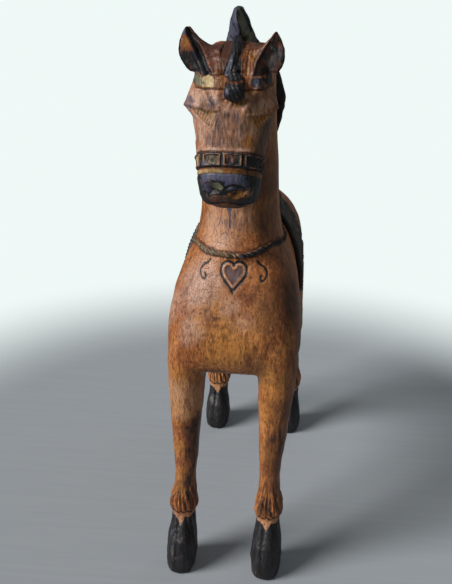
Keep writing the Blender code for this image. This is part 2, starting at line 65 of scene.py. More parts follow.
NECK_JOINT = ((0.0, -0.2348, 0.592), (0.0, -0.423, 0.906))  # a point on the glue face, and its normal
MASKS = ("black", "brown", "grey", "gilt", "green", "pale", "ochre")


# Numbers as fields: small functions that take arrays

def step_up(value, start, end):
    """0 before start, 1 after end, and smooth between."""
    t = np.clip((value - start) / (end - start), 0, 1)
    return t * t * (3 - 2 * t)


def step_down(value, start, end):
    """1 before start, 0 after end, and smooth between."""
    return step_up(-value, -end, -start)


def between(value, rise, fall):
    """1 between a rise and a fall, each of which has a start and an end."""
    return step_up(value, *rise) * step_down(value, *fall)


def bump(distance, width):
    """1 on the line where distance is 0, falling smoothly to 0 at width."""
    return step_down(np.abs(distance), 0, width)


def random_at(cells, seed):
    """A fixed random number from 0 to 1 for each cell of a lattice."""
    i, j, k = (cells[..., n].astype(np.int64) for n in range(3))
    mixed = (i * 73856093) ^ (j * 19349663) ^ (k * 83492791) ^ (seed * 2654435761)
    mixed = (mixed ^ (mixed >> 13)) * 1274126177 & 0x7FFFFFFF
    return ((mixed ^ (mixed >> 11)) & 0xFFFFF) / 0xFFFFF


def noise(points, size, seed=0):
    """Smooth noise from -1 to 1 in lumps of that size, which is one number or one for each axis."""
    at = points / np.asarray(size) + 0.37 * seed
    cell = np.floor(at)
    t = at - cell
    t = t * t * (3 - 2 * t)
    total = 0
    for corner in itertools.product((0, 1), repeat=3):
        weight = np.prod(np.where(corner, t, 1 - t), axis=1)
        total = total + weight * random_at(cell + corner, seed)
    return 2 * total - 1


def scoops(points, size, seed=0):
    """Shallow gouge cuts side by side: 0 in the middle of each cut, rising to the ridges between them."""
    at = points / np.asarray(size)
    cell = np.floor(at)
    nearest = np.full(len(points), 9.0)
    for corner in itertools.product((-1, 0, 1), repeat=3):
        other = cell + corner
        jitter = np.stack([random_at(other, seed + n) for n in range(3)], axis=1)
        nearest = np.minimum(nearest, ((other + jitter - at) ** 2).sum(axis=1))
    return nearest


def curve(corners, steps=6, closed=False):
    """A smooth line through the corners."""
    p = np.array(corners, float)
    if closed:
        p = np.vstack([p[-1], p, p[0], p[1]])
    else:
        p = np.vstack([2 * p[0] - p[1], p, 2 * p[-1] - p[-2]])
    line = []
    for a, b, c, d in zip(p, p[1:], p[2:], p[3:]):
        for t in np.arange(steps) / steps:
            line.append(b + t / 2 * (c - a + t * (2 * a - 5 * b + 4 * c - d + t * (3 * (b - c) + d - a))))
    return np.array(line + [p[-2]])


def line_distance(points, line):
    """How far each point is from a line of points."""
    line = np.asarray(line, float)
    nearest = np.full(len(points), 9.0)
    for a, b in zip(line, line[1:]):
        along = b - a
        t = np.clip(((points - a) @ along) / max(along @ along, 1e-12), 0, 1)
        nearest = np.minimum(nearest, np.linalg.norm(points - a - t[:, None] * along, axis=1))
    return nearest


def inside_outline(points, outline):
    """Whether each 2-D point is inside a closed outline."""
    inside = np.zeros(len(points), bool)
    for (ax, ay), (bx, by) in zip(outline, np.roll(outline, -1, axis=0)):
        crosses = (points[:, 1] < ay) != (points[:, 1] < by)
        with np.errstate(divide="ignore", invalid="ignore"):
            at = ax + (points[:, 1] - ay) * (bx - ax) / (by - ay)
        inside ^= crosses & (points[:, 0] < at)
    return inside


# Clay: solid space on a grid

def mesh_of(node):
    """The points and triangles of a CAD node."""
    mesh = frame["nodes"][node].data
    mesh.calc_loop_triangles()
    points = np.empty(3 * len(mesh.vertices), np.float32)
    triangles = np.empty(3 * len(mesh.loop_triangles), np.int32)
    mesh.vertices.foreach_get("co", points)
    mesh.loop_triangles.foreach_get("vertices", triangles)
    return points.reshape(-1, 3), triangles.reshape(-1, 3)


class Clay:
    """Space in a box, sampled every `step` metres.

    `field` is the distance to the surface there, negative inside.
    """

    def __init__(self, low, high, step):
        self.step = step
        self.first = tuple(math.floor(v / step) for v in low)
        counts = [math.ceil(v / step) - f + 1 for v, f in zip(high, self.first)]
        axes = [step * (f + np.arange(n)) for f, n in zip(self.first, counts)]
        self.x, self.y, self.z = (a.astype(np.float32) for a in np.ix_(*axes))
        self.field = np.full(counts, BAND, np.float32)

    def read(self, points, triangles):
        """Distances to a closed mesh."""
        grid = vdb.FloatGrid.createLevelSetFromPolygons(
            np.ascontiguousarray(points, np.float32),
            triangles=np.ascontiguousarray(triangles, np.uint32),
            transform=vdb.createLinearTransform(voxelSize=self.step),
            halfWidth=BAND / self.step,
        )
        found = np.empty(self.field.shape, np.float32)
        grid.copyToArray(found, ijk=self.first)
        return found

    def add(self, *nodes):
        for node in nodes:
            self.field = np.minimum(self.field, self.read(*mesh_of(node)))
        return self

    def skin(self, level=0.0):
        """The points and quads of the surface where the field has that level."""
        grid = vdb.FloatGrid(BAND)
        grid.transform = vdb.createLinearTransform(voxelSize=self.step)
        grid.copyFromArray(self.field, ijk=self.first)
        points, quads = grid.convertToQuads(isovalue=level)
        return points.astype(float), quads.astype(np.int64)

    def heal(self, width=0.0008):
        """Closes the glue lines, which are narrower than twice the width."""
        points, quads = self.skin(width)
        triangles = np.vstack([quads[:, [0, 1, 2]], quads[:, [0, 2, 3]]])
        self.field = self.read(points, triangles) + width
        return self

    def blurred(self, radius):
        """The field smoothed by a bell curve of that radius."""
        field = self.field.copy()
        for _ in range(round(2 * (radius / self.step) ** 2)):
            for axis in range(3):
                view = np.moveaxis(field, axis, 0)
                view[1:-1] = (view[:-2] + 2 * view[1:-1] + view[2:]) / 4
        return field

    def soften(self, radius):
        self.field = self.blurred(radius)
        return self

    def along(self, start, direction):
        """How far each sample lies from a start along a direction, times the direction's length."""
        return sum((axis - at) * way for axis, at, way in zip((self.x, self.y, self.z), start, direction))

    def pit(self, deep, rim):
        """Cuts a faceted hollow from its deepest point out through a rim of points, in order round it."""
        deep, rim = np.array(deep, float), [np.array(p, float) for p in rim]
        middle = sum(rim) / len(rim)
        hollow = np.full(self.field.shape, -BAND, np.float32)
        for a, b in zip(rim, rim[1:] + rim[:1]):
            normal = np.cross(a - deep, b - deep)
            normal /= np.linalg.norm(normal)
            normal *= -np.sign((middle - deep) @ normal)
            hollow = np.maximum(hollow, self.along(deep, normal))
        self.field = np.maximum(self.field, -hollow)
        return self

    def lay(self, line, radii):
        """Lays a tapering roll along a line, blended into what it lies on."""
        for a, b, start, end in zip(line, line[1:], radii, radii[1:]):
            way = b - a
            t = np.clip(self.along(a, way) / (way @ way), 0, 1)
            offsets = [axis - at - t * step for axis, at, step in zip((self.x, self.y, self.z), a, way)]
            roll = np.sqrt(sum(o**2 for o in offsets)) - start - t * (end - start)
            self.join(roll.astype(np.float32), 0.0015)
        return self

    def join(self, other, blend):
        """Adds another form, with a rounded seam."""
        share = np.clip(0.5 + (self.field - other) / (2 * blend), 0, 1)
        self.field = self.field + (other - self.field) * share - blend * share * (1 - share)
        return self


def clay_of(nodes, step, margin=0.006, low=None, high=None):
    """Clay round the CAD nodes, or in the given box."""
    corners = [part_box(node) for node in nodes]
    low = low or [min(c[0][k] for c in corners) - margin for k in range(3)]
    high = high or [max(c[1][k] for c in corners) + margin for k in range(3)]
    return Clay(low, high, step).add(*nodes)


def trunk_clay(low, high, step):
    """Body, neck and legs as one form: soft where the limbs flow together, crisper at feet and head."""
    clay = clay_of(TRUNK, step, low=low, high=high).heal()
    fine, soft = clay.blurred(0.0022), clay.blurred(0.007)
    share = step_up(clay.z, HIP_Z - 0.115, HIP_Z - 0.025) * (1 - 0.75 * step_up(clay.z, 0.63, 0.72))
    clay.field = fine + (soft - fine) * share.astype(np.float32)
    return clay


# Skin: the carved and painted surface

class Skin:
    """The surface of a piece as it is carved: points, faces and painted masks."""

    def __init__(self, clay):
        self.points, self.quads = clay.skin()
        self.masks = {name: np.zeros(len(self.points)) for name in MASKS}
        if self.volume() < 0:
            self.quads = self.quads[:, ::-1]

    def volume(self):
        a, b, c, d = (self.points[self.quads[:, k]] for k in range(4))
        return (np.cross(a, b) * c).sum() + (np.cross(a, c) * d).sum()

    @property
    def x(self):
        return self.points[:, 0]

    @property
    def y(self):
        return self.points[:, 1]

    @property
    def z(self):
        return self.points[:, 2]

    def spread(self, values):
        """Sums a row for each face onto the face's four points."""
        columns = [
            sum(np.bincount(self.quads[:, k], values[:, n], len(self.points)) for k in range(4))
            for n in range(values.shape[1])
        ]
        return np.stack(columns, axis=1)

    def normals(self):
        a, b, c, d = (self.points[self.quads[:, k]] for k in range(4))
        summed = self.spread(np.cross(c - a, d - b))
        return summed / (np.linalg.norm(summed, axis=1)[:, None] + 1e-15)

    def push(self, amount, direction=None):
        """Moves the points out along their normals, or along one direction."""
        way = self.normals() if direction is None else np.array(direction, float)
        self.points = self.points + np.asarray(amount)[..., None] * way

    def paint(self, **amounts):
        """Lays each named paint on, up to its amount."""
        for mask, amount in amounts.items():
            self.masks[mask] = np.maximum(self.masks[mask], np.clip(amount, 0, 1))

    def clean(self, amount, *masks):
        """Takes the named paints away, or all of them, where amount is 1."""
        for mask in masks or MASKS:
            self.masks[mask] = self.masks[mask] * (1 - np.clip(amount, 0, 1))

    def away(self, place):
        """How far each point is from a place."""
        return np.linalg.norm(self.points - place, axis=1)

    def noise(self, size, seed=0):
        """Smooth noise at the skin's points."""
        return noise(self.points, size, seed)

    def bend(self, rounds=2):
        """Mean curvature at each point, positive in hollows and negative on ridges."""
        centre = self.points[self.quads].mean(axis=1)
        count = np.bincount(self.quads.ravel(), minlength=len(self.points))[:, None]
        around = self.spread(centre) / count
        size = np.linalg.norm(self.points[self.quads[:, 0]] - self.points[self.quads[:, 2]], axis=1).mean()
        found = ((around - self.points) * self.normals()).sum(axis=1)[:, None]
        for _ in range(rounds):
            found = self.spread(self.spread_back(found)) / count
        return found[:, 0] / size**2

    def spread_back(self, values):
        return values[self.quads].mean(axis=1)


def groove(skin, distance, width, depth, mask=None, where=True):
    """A V-shaped cut along the line where distance is 0, which may be filled with paint."""
    shape = np.where(where, bump(distance, width), 0)
    skin.push(-depth * shape)
    if mask:
        skin.paint(**{mask: 1.25 * shape})


def daub(skin, centre, size, seed):
    """1 in an oval of the front view with a ragged edge, such as one touch of a dry brush leaves."""
    away = np.hypot((skin.x - centre[0]) / size[0], (skin.z - centre[1]) / size[1])
    ragged = 0.28 * skin.noise(0.0055, seed) + 0.18 * skin.noise(0.0022, seed + 1)
    return step_down(away + ragged, 0.55, 1.2)


def touch_up(skin, where, touches, seed):
    """Dry touches of a brush: for each its paint, its centre and size in the front view, and its strength."""
    for count, (mask, centre, size, strength) in enumerate(touches):
        skin.paint(**{mask: strength * where * daub(skin, centre, size, seed + 3 * count)})


def tool_marks(skin, size, depth, seed=0, lump=0.0008):
    """The gouge's scoops, over the slight unevenness of handwork."""
    skin.push(lump * skin.noise(0.055, seed) + lump / 2 * skin.noise(0.022, seed + 1))
    skin.push(depth * (scoops(skin.points, size, seed + 2) - 0.3))


def front(skin, sharp=0.25):
    """1 where the surface faces forward."""
    return step_down(skin.normals()[:, 1], -sharp, 0)


# Materials

class Tree:
    """Builds a material's nodes with few words."""

    def __init__(self, name):
        self.material = bpy.data.materials.new(name)
        self.material.use_nodes = True
        self.tree = self.material.node_tree
        self.shader = self.tree.nodes["Principled BSDF"]
        self.place = self.node("ShaderNodeTexCoord").outputs["Object"]

    def node(self, kind, **settings):
        made = self.tree.nodes.new(kind)
        for name, value in settings.items():
            setattr(made, name, value)
        return made

    def feed(self, socket, value):
        if isinstance(value, bpy.types.NodeSocket):
            self.tree.links.new(value, socket)
        elif isinstance(value, tuple) and len(value) == 3 and socket.type == "RGBA":
            socket.default_value = (*value, 1.0)
        else:
            socket.default_value = value

    def mask(self, name):
        return self.node("ShaderNodeAttribute", attribute_name=name).outputs["Fac"]

    def math(self, operation, *values, clamp=False):
        made = self.node("ShaderNodeMath", operation=operation, use_clamp=clamp)
        for socket, value in zip(made.inputs, values):
            self.feed(socket, value)
        return made.outputs[0]

    def blend(self, *parts):
        """The sum of values, each with its weight."""
        total = 0.0
        for value, weight in parts:
            total = self.math("MULTIPLY_ADD", value, weight, total)
        return total

    def noise(self, size, detail=4.0, rough=0.55, twist=0.0):
        """Noise from 0 to 1 in lumps of that size: (x, y, z) in metres."""
        stretch = self.node("ShaderNodeMapping")
        self.feed(stretch.inputs["Vector"], self.place)
        stretch.inputs["Scale"].default_value = [1 / s for s in size]
        made = self.node("ShaderNodeTexNoise")
        self.feed(made.inputs["Vector"], stretch.outputs[0])
        made.inputs["Scale"].default_value = 1.0
        made.inputs["Detail"].default_value = detail
        made.inputs["Roughness"].default_value = rough
        made.inputs["Distortion"].default_value = twist
        return made.outputs["Fac"]

    def spread(self, value, low, high, new_low=0.0, new_high=1.0):
        """Stretches a value from low..high to the new range, and clamps it."""
        made = self.node("ShaderNodeMapRange", clamp=True, interpolation_type="SMOOTHSTEP")
        self.feed(made.inputs["Value"], value)
        for name, number in zip(("From Min", "From Max", "To Min", "To Max"), (low, high, new_low, new_high)):
            made.inputs[name].default_value = number
        return made.outputs["Result"]

    def mix(self, share, a, b):
        made = self.node("ShaderNodeMix", data_type="RGBA")
        self.feed(made.inputs["Factor"], share)
        self.feed(made.inputs["A"], a)
        self.feed(made.inputs["B"], b)
        return made.outputs["Result"]

    def coat(self, mask, ragged, edge=0.22):
        """Where a layer of paint covers: its mask, with an edge made ragged by noise."""
        return self.spread(self.blend((self.mask(mask), 1.0), (ragged, 0.9)), 0.95 - edge, 0.95 + edge)

    def tint(self, mask, grain):
        """Where a thin stain shows: its mask, thicker and thinner with the grain."""
        return self.math("MULTIPLY", self.mask(mask), self.spread(grain, 0.25, 0.65, 0.35, 1.15), clamp=True)

    def relief(self, height, distance, strength=1.0):
        made = self.node("ShaderNodeBump")
        made.inputs["Strength"].default_value = strength
        made.inputs["Distance"].default_value = distance
        self.feed(made.inputs["Height"], height)
        self.tree.links.new(made.outputs["Normal"], self.shader.inputs["Normal"])


def carved_wood(name, light, middle, dark):
    """Stained and waxed wood with old paint on it. The three colours are the rubbed, plain and deep stain."""
    t = Tree(name)
    clouds = t.noise((0.09, 0.09, 0.16), detail=3.0)
    streaks = t.noise((0.0045, 0.0045, 0.055), detail=5.0, rough=0.6, twist=0.6)
    pores = t.noise((0.0016, 0.0016, 0.011), detail=3.0, rough=0.65)
    stipple = t.noise((0.003, 0.003, 0.0075), detail=3.0, rough=0.6)
    scuffs = t.noise((0.013, 0.013, 0.02), detail=6.0, rough=0.7)
    blotches = t.noise((0.022, 0.022, 0.06), detail=5.0, rough=0.65, twist=0.8)
    cavity, wear_and_sheen = t.mask("cavity"), t.mask("wear_and_sheen")

    tone = t.blend((clouds, 0.55), (streaks, 0.45), (stipple, 0.52))
    wood = t.mix(t.spread(tone, 0.6, 0.75), dark, middle)
    wood = t.mix(t.spread(tone, 0.73, 0.92), wood, light)
    wood = t.mix(t.tint("ochre", stipple), wood, OCHRE)
    wood = t.mix(t.tint("pale", scuffs), wood, PALE)
    wood = t.mix(t.spread(blotches, 0.5, 0.68, 0.0, 0.66), wood, RED_BROWN)
    wood = t.mix(t.tint("brown", t.blend((scuffs, 0.5), (streaks, 0.5))), wood, BROWN)
    wood = t.mix(t.spread(pores, 0.54, 0.66, 0.0, 0.78), wood, PORE)
    wood = t.mix(t.blend((wear_and_sheen, 0.55)), wood, light)

    chips = t.spread(t.blend((scuffs, 1.0), (stipple, 0.5)), 0.86, 1.0)
    black = t.mix(t.spread(streaks, 0.45, 0.75), BLACK, BLACK_WORN)
    # Painted highlight: black paint turns blue-grey on ridges.
    black = t.mix(t.blend((wear_and_sheen, 0.8)), black, BLUE_GREY)
    black = t.mix(chips, black, CHIP)
    paint = t.mix(t.coat("black", scuffs, 0.14), wood, black)
    paint = t.mix(t.coat("grey", stipple, 0.25), paint, t.mix(streaks, BLUE_GREY, LILAC))
    paint = t.mix(t.coat("gilt", scuffs, 0.22), paint, t.mix(stipple, GILT_DEEP, GILT))
    paint = t.mix(t.coat("green", stipple, 0.25), paint, t.mix(streaks, GREEN_DEEP, GREEN))
    # Painted shade: the hollows are darkened towards a near-black brown.
    paint = t.mix(t.blend((cavity, 0.8)), paint, HOLLOW_SHADE)
    t.feed(t.shader.inputs["Base Color"], paint)

    shine = t.blend((t.spread(stipple, 0.3, 0.7, 0.4, 0.56), 1.0), (cavity, 0.25))
    t.feed(t.shader.inputs["Roughness"], shine)
    t.shader.inputs["Specular IOR Level"].default_value = 0.38
    t.shader.inputs["Coat Weight"].default_value = 0.05
    t.shader.inputs["Coat Roughness"].default_value = 0.32
    height = t.blend((stipple, 0.55), (streaks, 0.45), (t.spread(pores, 0.52, 0.7), -0.45))
    t.relief(height, 0.0011, 0.75)
    return t.material


OCHRE = (0.45, 0.195, 0.042)
PALE = (0.5, 0.32, 0.245)
RED_BROWN = (0.12, 0.03, 0.011)
BROWN = (0.05, 0.018, 0.01)
PORE = (0.055, 0.018, 0.008)
BLACK = (0.006, 0.005, 0.006)
BLACK_WORN = (0.022, 0.02, 0.024)
BLUE_GREY = (0.044, 0.056, 0.112)
LILAC = (0.088, 0.08, 0.116)
CHIP = (0.085, 0.042, 0.026)
GILT = (0.7, 0.55, 0.3)
GILT_DEEP = (0.3, 0.19, 0.075)
GREEN = (0.185, 0.18, 0.11)
GREEN_DEEP = (0.055, 0.065, 0.04)
HOLLOW_SHADE = (0.012, 0.006, 0.004)

STAIN = carved_wood("stained wood", (0.52, 0.215, 0.064), (0.3, 0.094, 0.026), (0.105, 0.028, 0.01))
RED_STAIN = carved_wood("red-brown wood", (0.28, 0.1, 0.045), (0.12, 0.032, 0.014), (0.04, 0.012, 0.008))
EBONISED = carved_wood("ebonised wood", (0.13, 0.065, 0.04), (0.04, 0.022, 0.016), (0.014, 0.01, 0.009))


def add_object(name, data):
    """A new object, put in the scene."""
    made = bpy.data.objects.new(name, data)
    bpy.context.scene.collection.objects.link(made)
    return made


def show(skin, name, nodes, material, cuts=()):
    """Makes the finished piece. Each cut is a point and a normal: what lies on the normal's side goes."""
    bend = skin.bend()
    shaded_hollow, rubbed = 130, 150  # how sharp a hollow or a ridge is, per metre, for the full effect
    # Painted shade: the cavity mask darkens the hollows.
    skin.masks["cavity"] = np.clip(bend / shaded_hollow - 0.12, 0, 1)
    # The ridge mask lightens rubbed stain and paints a blue-grey highlight on black paint.
    skin.masks["wear_and_sheen"] = np.clip(-bend / rubbed - 0.15, 0, 1)
    mesh = bpy.data.meshes.new(name)
    mesh.vertices.add(len(skin.points))
    mesh.vertices.foreach_set("co", skin.points.astype(np.float32).ravel())
    mesh.loops.add(skin.quads.size)
    mesh.loops.foreach_set("vertex_index", skin.quads.astype(np.int32).ravel())
    mesh.polygons.add(len(skin.quads))
    mesh.polygons.foreach_set("loop_start", np.arange(0, skin.quads.size, 4, dtype=np.int32))
    for mask, values in skin.masks.items():
        layer = mesh.attributes.new(mask, "FLOAT", "POINT")
        layer.data.foreach_set("value", values.astype(np.float32))
    mesh.update(calc_edges=True)
    if cuts:
        shape = bmesh.new()
        shape.from_mesh(mesh)
        for point, normal in cuts:
            everything = shape.verts[:] + shape.edges[:] + shape.faces[:]
            found = bmesh.ops.bisect_plane(
                shape, geom=everything, dist=1e-6, plane_co=point, plane_no=normal, clear_outer=True
            )
            rim = [e for e in found["geom_cut"] if isinstance(e, bmesh.types.BMEdge)]
            bmesh.ops.holes_fill(shape, edges=rim, sides=0)
        shape.to_mesh(mesh)
        shape.free()
    mesh.shade_smooth()
    mesh.set_sharp_from_angle(angle=math.radians(60))
    mesh.materials.append(material)
    piece = add_object(name, mesh)
    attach(piece, "root")
    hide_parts(*nodes)


# Body, neck and legs

def heart(tip_x, tip_z, width, height):
    """A closed heart outline in the front view, pointing down."""
    t = np.linspace(0, 2 * math.pi, 48)
    x = 16 * np.sin(t) ** 3
    z = 12 * np.cos(t) - 3.5 * np.cos(2 * t) - 1.5 * np.cos(3 * t) - 0.6 * np.cos(4 * t)
    return np.column_stack([tip_x + width * x / 32, tip_z + height * (z - z.min()) / (z.max() - z.min())])


def carve_chest(skin):
    """Heart pendant, scrolls and straps under the necklace."""
    view = skin.points[:, [0, 2]]
    forward = front(skin) > 0
    outline = heart(tip_x=0.0012, tip_z=0.5462, width=0.0435, height=0.0458)
    edge = line_distance(view, outline)
    within = inside_outline(view, outline) & forward
    groove(skin, edge + 0.0005 * skin.noise(0.008, 25), 0.0036, 0.0018, "black", forward)
    skin.push(0.0008 * within * (bump(edge - 0.0048, 0.0024) - step_up(edge, 0.0045, 0.008)))
    skin.paint(brown=0.9 * within * step_up(edge, 0.0045, 0.0065))
    skin.paint(grey=0.46 * within * step_up(edge, 0.006, 0.008))
    skin.paint(pale=0.8 * within * bump(edge - 0.004, 0.0022))
    for side in (-1, 1):
        scroll = curve([
            (side * 0.039, 0.592), (side * 0.044, 0.586), (side * 0.0515, 0.5815),
            (side * 0.056, 0.574), (side * 0.0545, 0.566), (side * 0.048, 0.5625),
            (side * 0.0455, 0.5675), (side * 0.048, 0.571),
        ])
        groove(skin, line_distance(view, scroll), 0.0027, 0.0015, "black", forward)
        strap = curve([
            (side * 0.0735, -0.172, 0.597), (side * 0.077, -0.184, 0.586), (side * 0.079, -0.203, 0.574),
        ])
        groove(skin, line_distance(skin.points, strap), 0.0028, 0.0014, "brown")


def necklace_rise(x, y):
    """How far the rope lies over its lowest point on the chest, and its slope there."""
    front_part, side, far = np.maximum(0, y + 0.235), np.maximum(0, y + 0.195), np.maximum(0, y + 0.115)
    slope = 0.16 * (front_part > 0) - 0.39 * (side > 0) + 15.6 * far
    return 0.045 * x + 0.16 * front_part - 0.39 * side + 7.8 * far**2, slope


def carve_necklace(skin):
    """A thin twisted rope in relief, worn and knotted and painted olive, with painted light and shade: paler
    on its lit half and nearly black on the shaded half.
    """
    rise, slope = necklace_rise(skin.x, skin.y)
    wander = 0.0016 * skin.noise((0.013, 0.013, 0.2), 45)
    away = (skin.z - NECKLACE_Z - rise - wander) / np.sqrt(1 + slope**2)
    away = np.where(skin.y < -0.03, away, 1.0)
    broken = skin.noise((0.009, 0.009, 0.2), 46)
    half = 0.0041 + 0.001 * broken
    along = 0.088 * np.arctan2(skin.x, -(skin.y + 0.13))
    rope = np.sqrt(np.clip(1 - (away / half) ** 2, 0, 1))
    twist = np.cos(2 * math.pi * (along / 0.0088 + away / 0.0085) + 1.5 * broken)
    skin.push((0.0023 + 0.0008 * broken) * rope + 0.0013 * rope * twist)
    groove(skin, np.abs(away) - half - 0.0008, 0.0024, 0.0012, "brown")
    worn = skin.noise((0.0045, 0.0045, 0.004), 44)
    # Painted light and shade: olive and gilt on the lit left half, nearly black on the shaded right half.
    sunny = step_down(skin.x, -0.004, 0.022)
    skin.clean(rope, "pale", "ochre")
    skin.paint(brown=rope, black=rope * (0.8 - 0.45 * sunny))
    skin.paint(green=rope * (0.22 + 0.5 * sunny) * (0.75 + 0.5 * twist + 0.35 * worn))
    skin.paint(gilt=rope * (0.3 + 0.35 * sunny) * step_up(twist + 0.6 * worn, 0.5, 1.0))
    knots = (
        (0.005, -0.2395, 0.6035), (0.015, -0.2375, 0.6), (-0.077, -0.142, 0.595),
        (-0.06, -0.2, 0.606), (0.057, -0.2, 0.61), (0.0715, -0.162, 0.6045),
    )
    for knot in knots:
        ball = bump(skin.away(knot), 0.008)
        skin.push(0.003 * ball)
        skin.clean(0.8 * ball, "green")
        skin.paint(brown=0.8 * ball)


def paint_trunk(skin):
    """Where the stain is rubbed pale, ochre or dark, and where light and shade are painted: the pale patches
    on the lit left side are partly a painted sheen, and the brown ones on the right side are mostly painted
    shade. A patch has a centre, a radius and a strength.
    """
    soft = skin.noise(0.03, 40)
    patches = {
        # Pale on the lit left side: rubbed stain and a painted sheen.
        "pale": [
            (-0.06, -0.245, 0.56, 0.055, 0.55), (-0.03, -0.22, 0.64, 0.045, 0.6),
            (-0.035, -0.22, 0.7, 0.038, 0.5), (-0.09, -0.225, 0.5, 0.04, 0.6),
            (-0.002, -0.275, 0.525, 0.024, 0.45), (-0.085, -0.27, 0.35, 0.045, 0.38),
            (-0.07, -0.285, 0.48, 0.03, 0.5), (0.022, -0.285, 0.505, 0.022, 0.35),
        ],
        "ochre": [
            (-0.025, -0.285, 0.5, 0.06, 0.62), (-0.01, -0.29, 0.455, 0.05, 0.7),
            (0.06, -0.27, 0.39, 0.045, 0.6), (-0.075, -0.265, 0.39, 0.04, 0.75),
            (-0.085, -0.27, 0.175, 0.035, 0.55), (0.056, -0.27, 0.33, 0.032, 0.6),
            (0.06, -0.27, 0.25, 0.026, 0.5), (-0.092, -0.275, 0.25, 0.022, 0.55),
            (-0.085, -0.27, 0.34, 0.042, 0.85),
        ],
        "black": [
            (-0.06, -0.268, 0.29, 0.027, 0.42), (-0.057, -0.262, 0.255, 0.019, 0.4),
            (-0.06, -0.263, 0.215, 0.016, 0.38),
        ],
        # Brown: mostly painted shade on the right side of chest, neck and legs; the rows near x = -0.06 are
        # dark marks at the left front knee.
        "brown": [
            (0.07, -0.262, 0.52, 0.05, 0.62), (0.104, -0.225, 0.52, 0.05, 0.85),
            (0.075, -0.245, 0.555, 0.03, 0.55), (0.06, -0.19, 0.65, 0.04, 0.7),
            (0.06, -0.19, 0.72, 0.045, 0.7), (0.022, -0.216, 0.71, 0.016, 0.65),
            (0.084, -0.27, 0.225, 0.03, 0.55), (0.0, 0.15, 0.4, 0.08, 0.35),
            (0.105, -0.2, 0.44, 0.055, 0.75), (0.092, -0.262, 0.34, 0.03, 0.5),
            (-0.098, -0.18, 0.47, 0.035, 0.4), (0.04, -0.285, 0.425, 0.03, 0.45),
            (-0.03, -0.235, 0.63, 0.016, 0.3), (0.01, -0.235, 0.64, 0.022, 0.35),
            (-0.061, -0.268, 0.288, 0.027, 1.0), (-0.058, -0.264, 0.262, 0.022, 1.0),
            (-0.06, -0.264, 0.23, 0.02, 0.95), (-0.062, -0.264, 0.198, 0.019, 0.8),
            (0.085, -0.262, 0.285, 0.026, 0.55),
        ],
    }
    for mask, spots in patches.items():
        for *centre, radius, strength in spots:
            away = skin.away(centre) / radius
            skin.paint(**{mask: strength * np.clip(1.15 - away**2 + 0.3 * soft, 0, 1)})
    runs = 0.8 * skin.noise((0.005, 0.005, 0.04), 41) + 0.7 * skin.noise((0.003, 0.003, 0.012), 42)
    leg_bends = [  # knees, hocks and fetlocks, where dark strokes run down the leg
        (-0.055, -0.264, 0.288, 0.03, 1.6), (-0.06, -0.266, 0.232, 0.03, 1.3),
        (-0.066, -0.272, 0.165, 0.036, 1.1), (0.07, -0.275, 0.155, 0.036, 1.1),
        (0.09, -0.268, 0.27, 0.034, 1.0),
    ]
    for side in (1, -1):
        leg_bends += [(side * 0.08, 0.24, 0.29, 0.04, 0.8), (side * 0.08, 0.25, 0.16, 0.036, 0.8)]
    for *centre, radius, strength in leg_bends:
        away = np.linalg.norm((skin.points - centre) / (1, 1, 1.2), axis=1) / radius
        skin.paint(black=0.62 * strength * step_up(runs, 0.1, 0.9) * np.clip(1.3 - away**2, 0, 1))
        skin.paint(brown=strength * step_up(runs, -0.7, 0.4) * np.clip(1.2 - away**2, 0, 1))
    streaks = skin.noise((0.004, 0.004, 0.03), 52)
    throat = step_up(skin.z, 0.625, 0.65) * front(skin) * step_down(np.abs(skin.x + 0.006), 0.02, 0.048)
    skin.paint(grey=0.44 * throat * step_up(streaks, 0.05, 0.55))
    skin.paint(grey=(0.46 + 0.4 * streaks) * throat * bump(skin.x + 0.006 + 0.006 * streaks, 0.013))
    skin.paint(pale=0.45 * throat, brown=0.62 * throat * step_down(streaks, -0.6, -0.05))
    ripples = skin.noise((0.0034, 0.0034, 0.0085), 43) + 0.5 * skin.noise((0.009, 0.009, 0.024), 51)
    chest = (0.35 + 0.65 * between(skin.z, (0.37, 0.42), (0.5, 0.56))) * front(skin)
    skin.push(0.00042 * ripples * chest)
    skin.paint(brown=0.62 * chest * step_down(ripples, -0.85, -0.2))
    skin.paint(ochre=0.45 * chest * step_up(ripples, 0.35, 0.9))


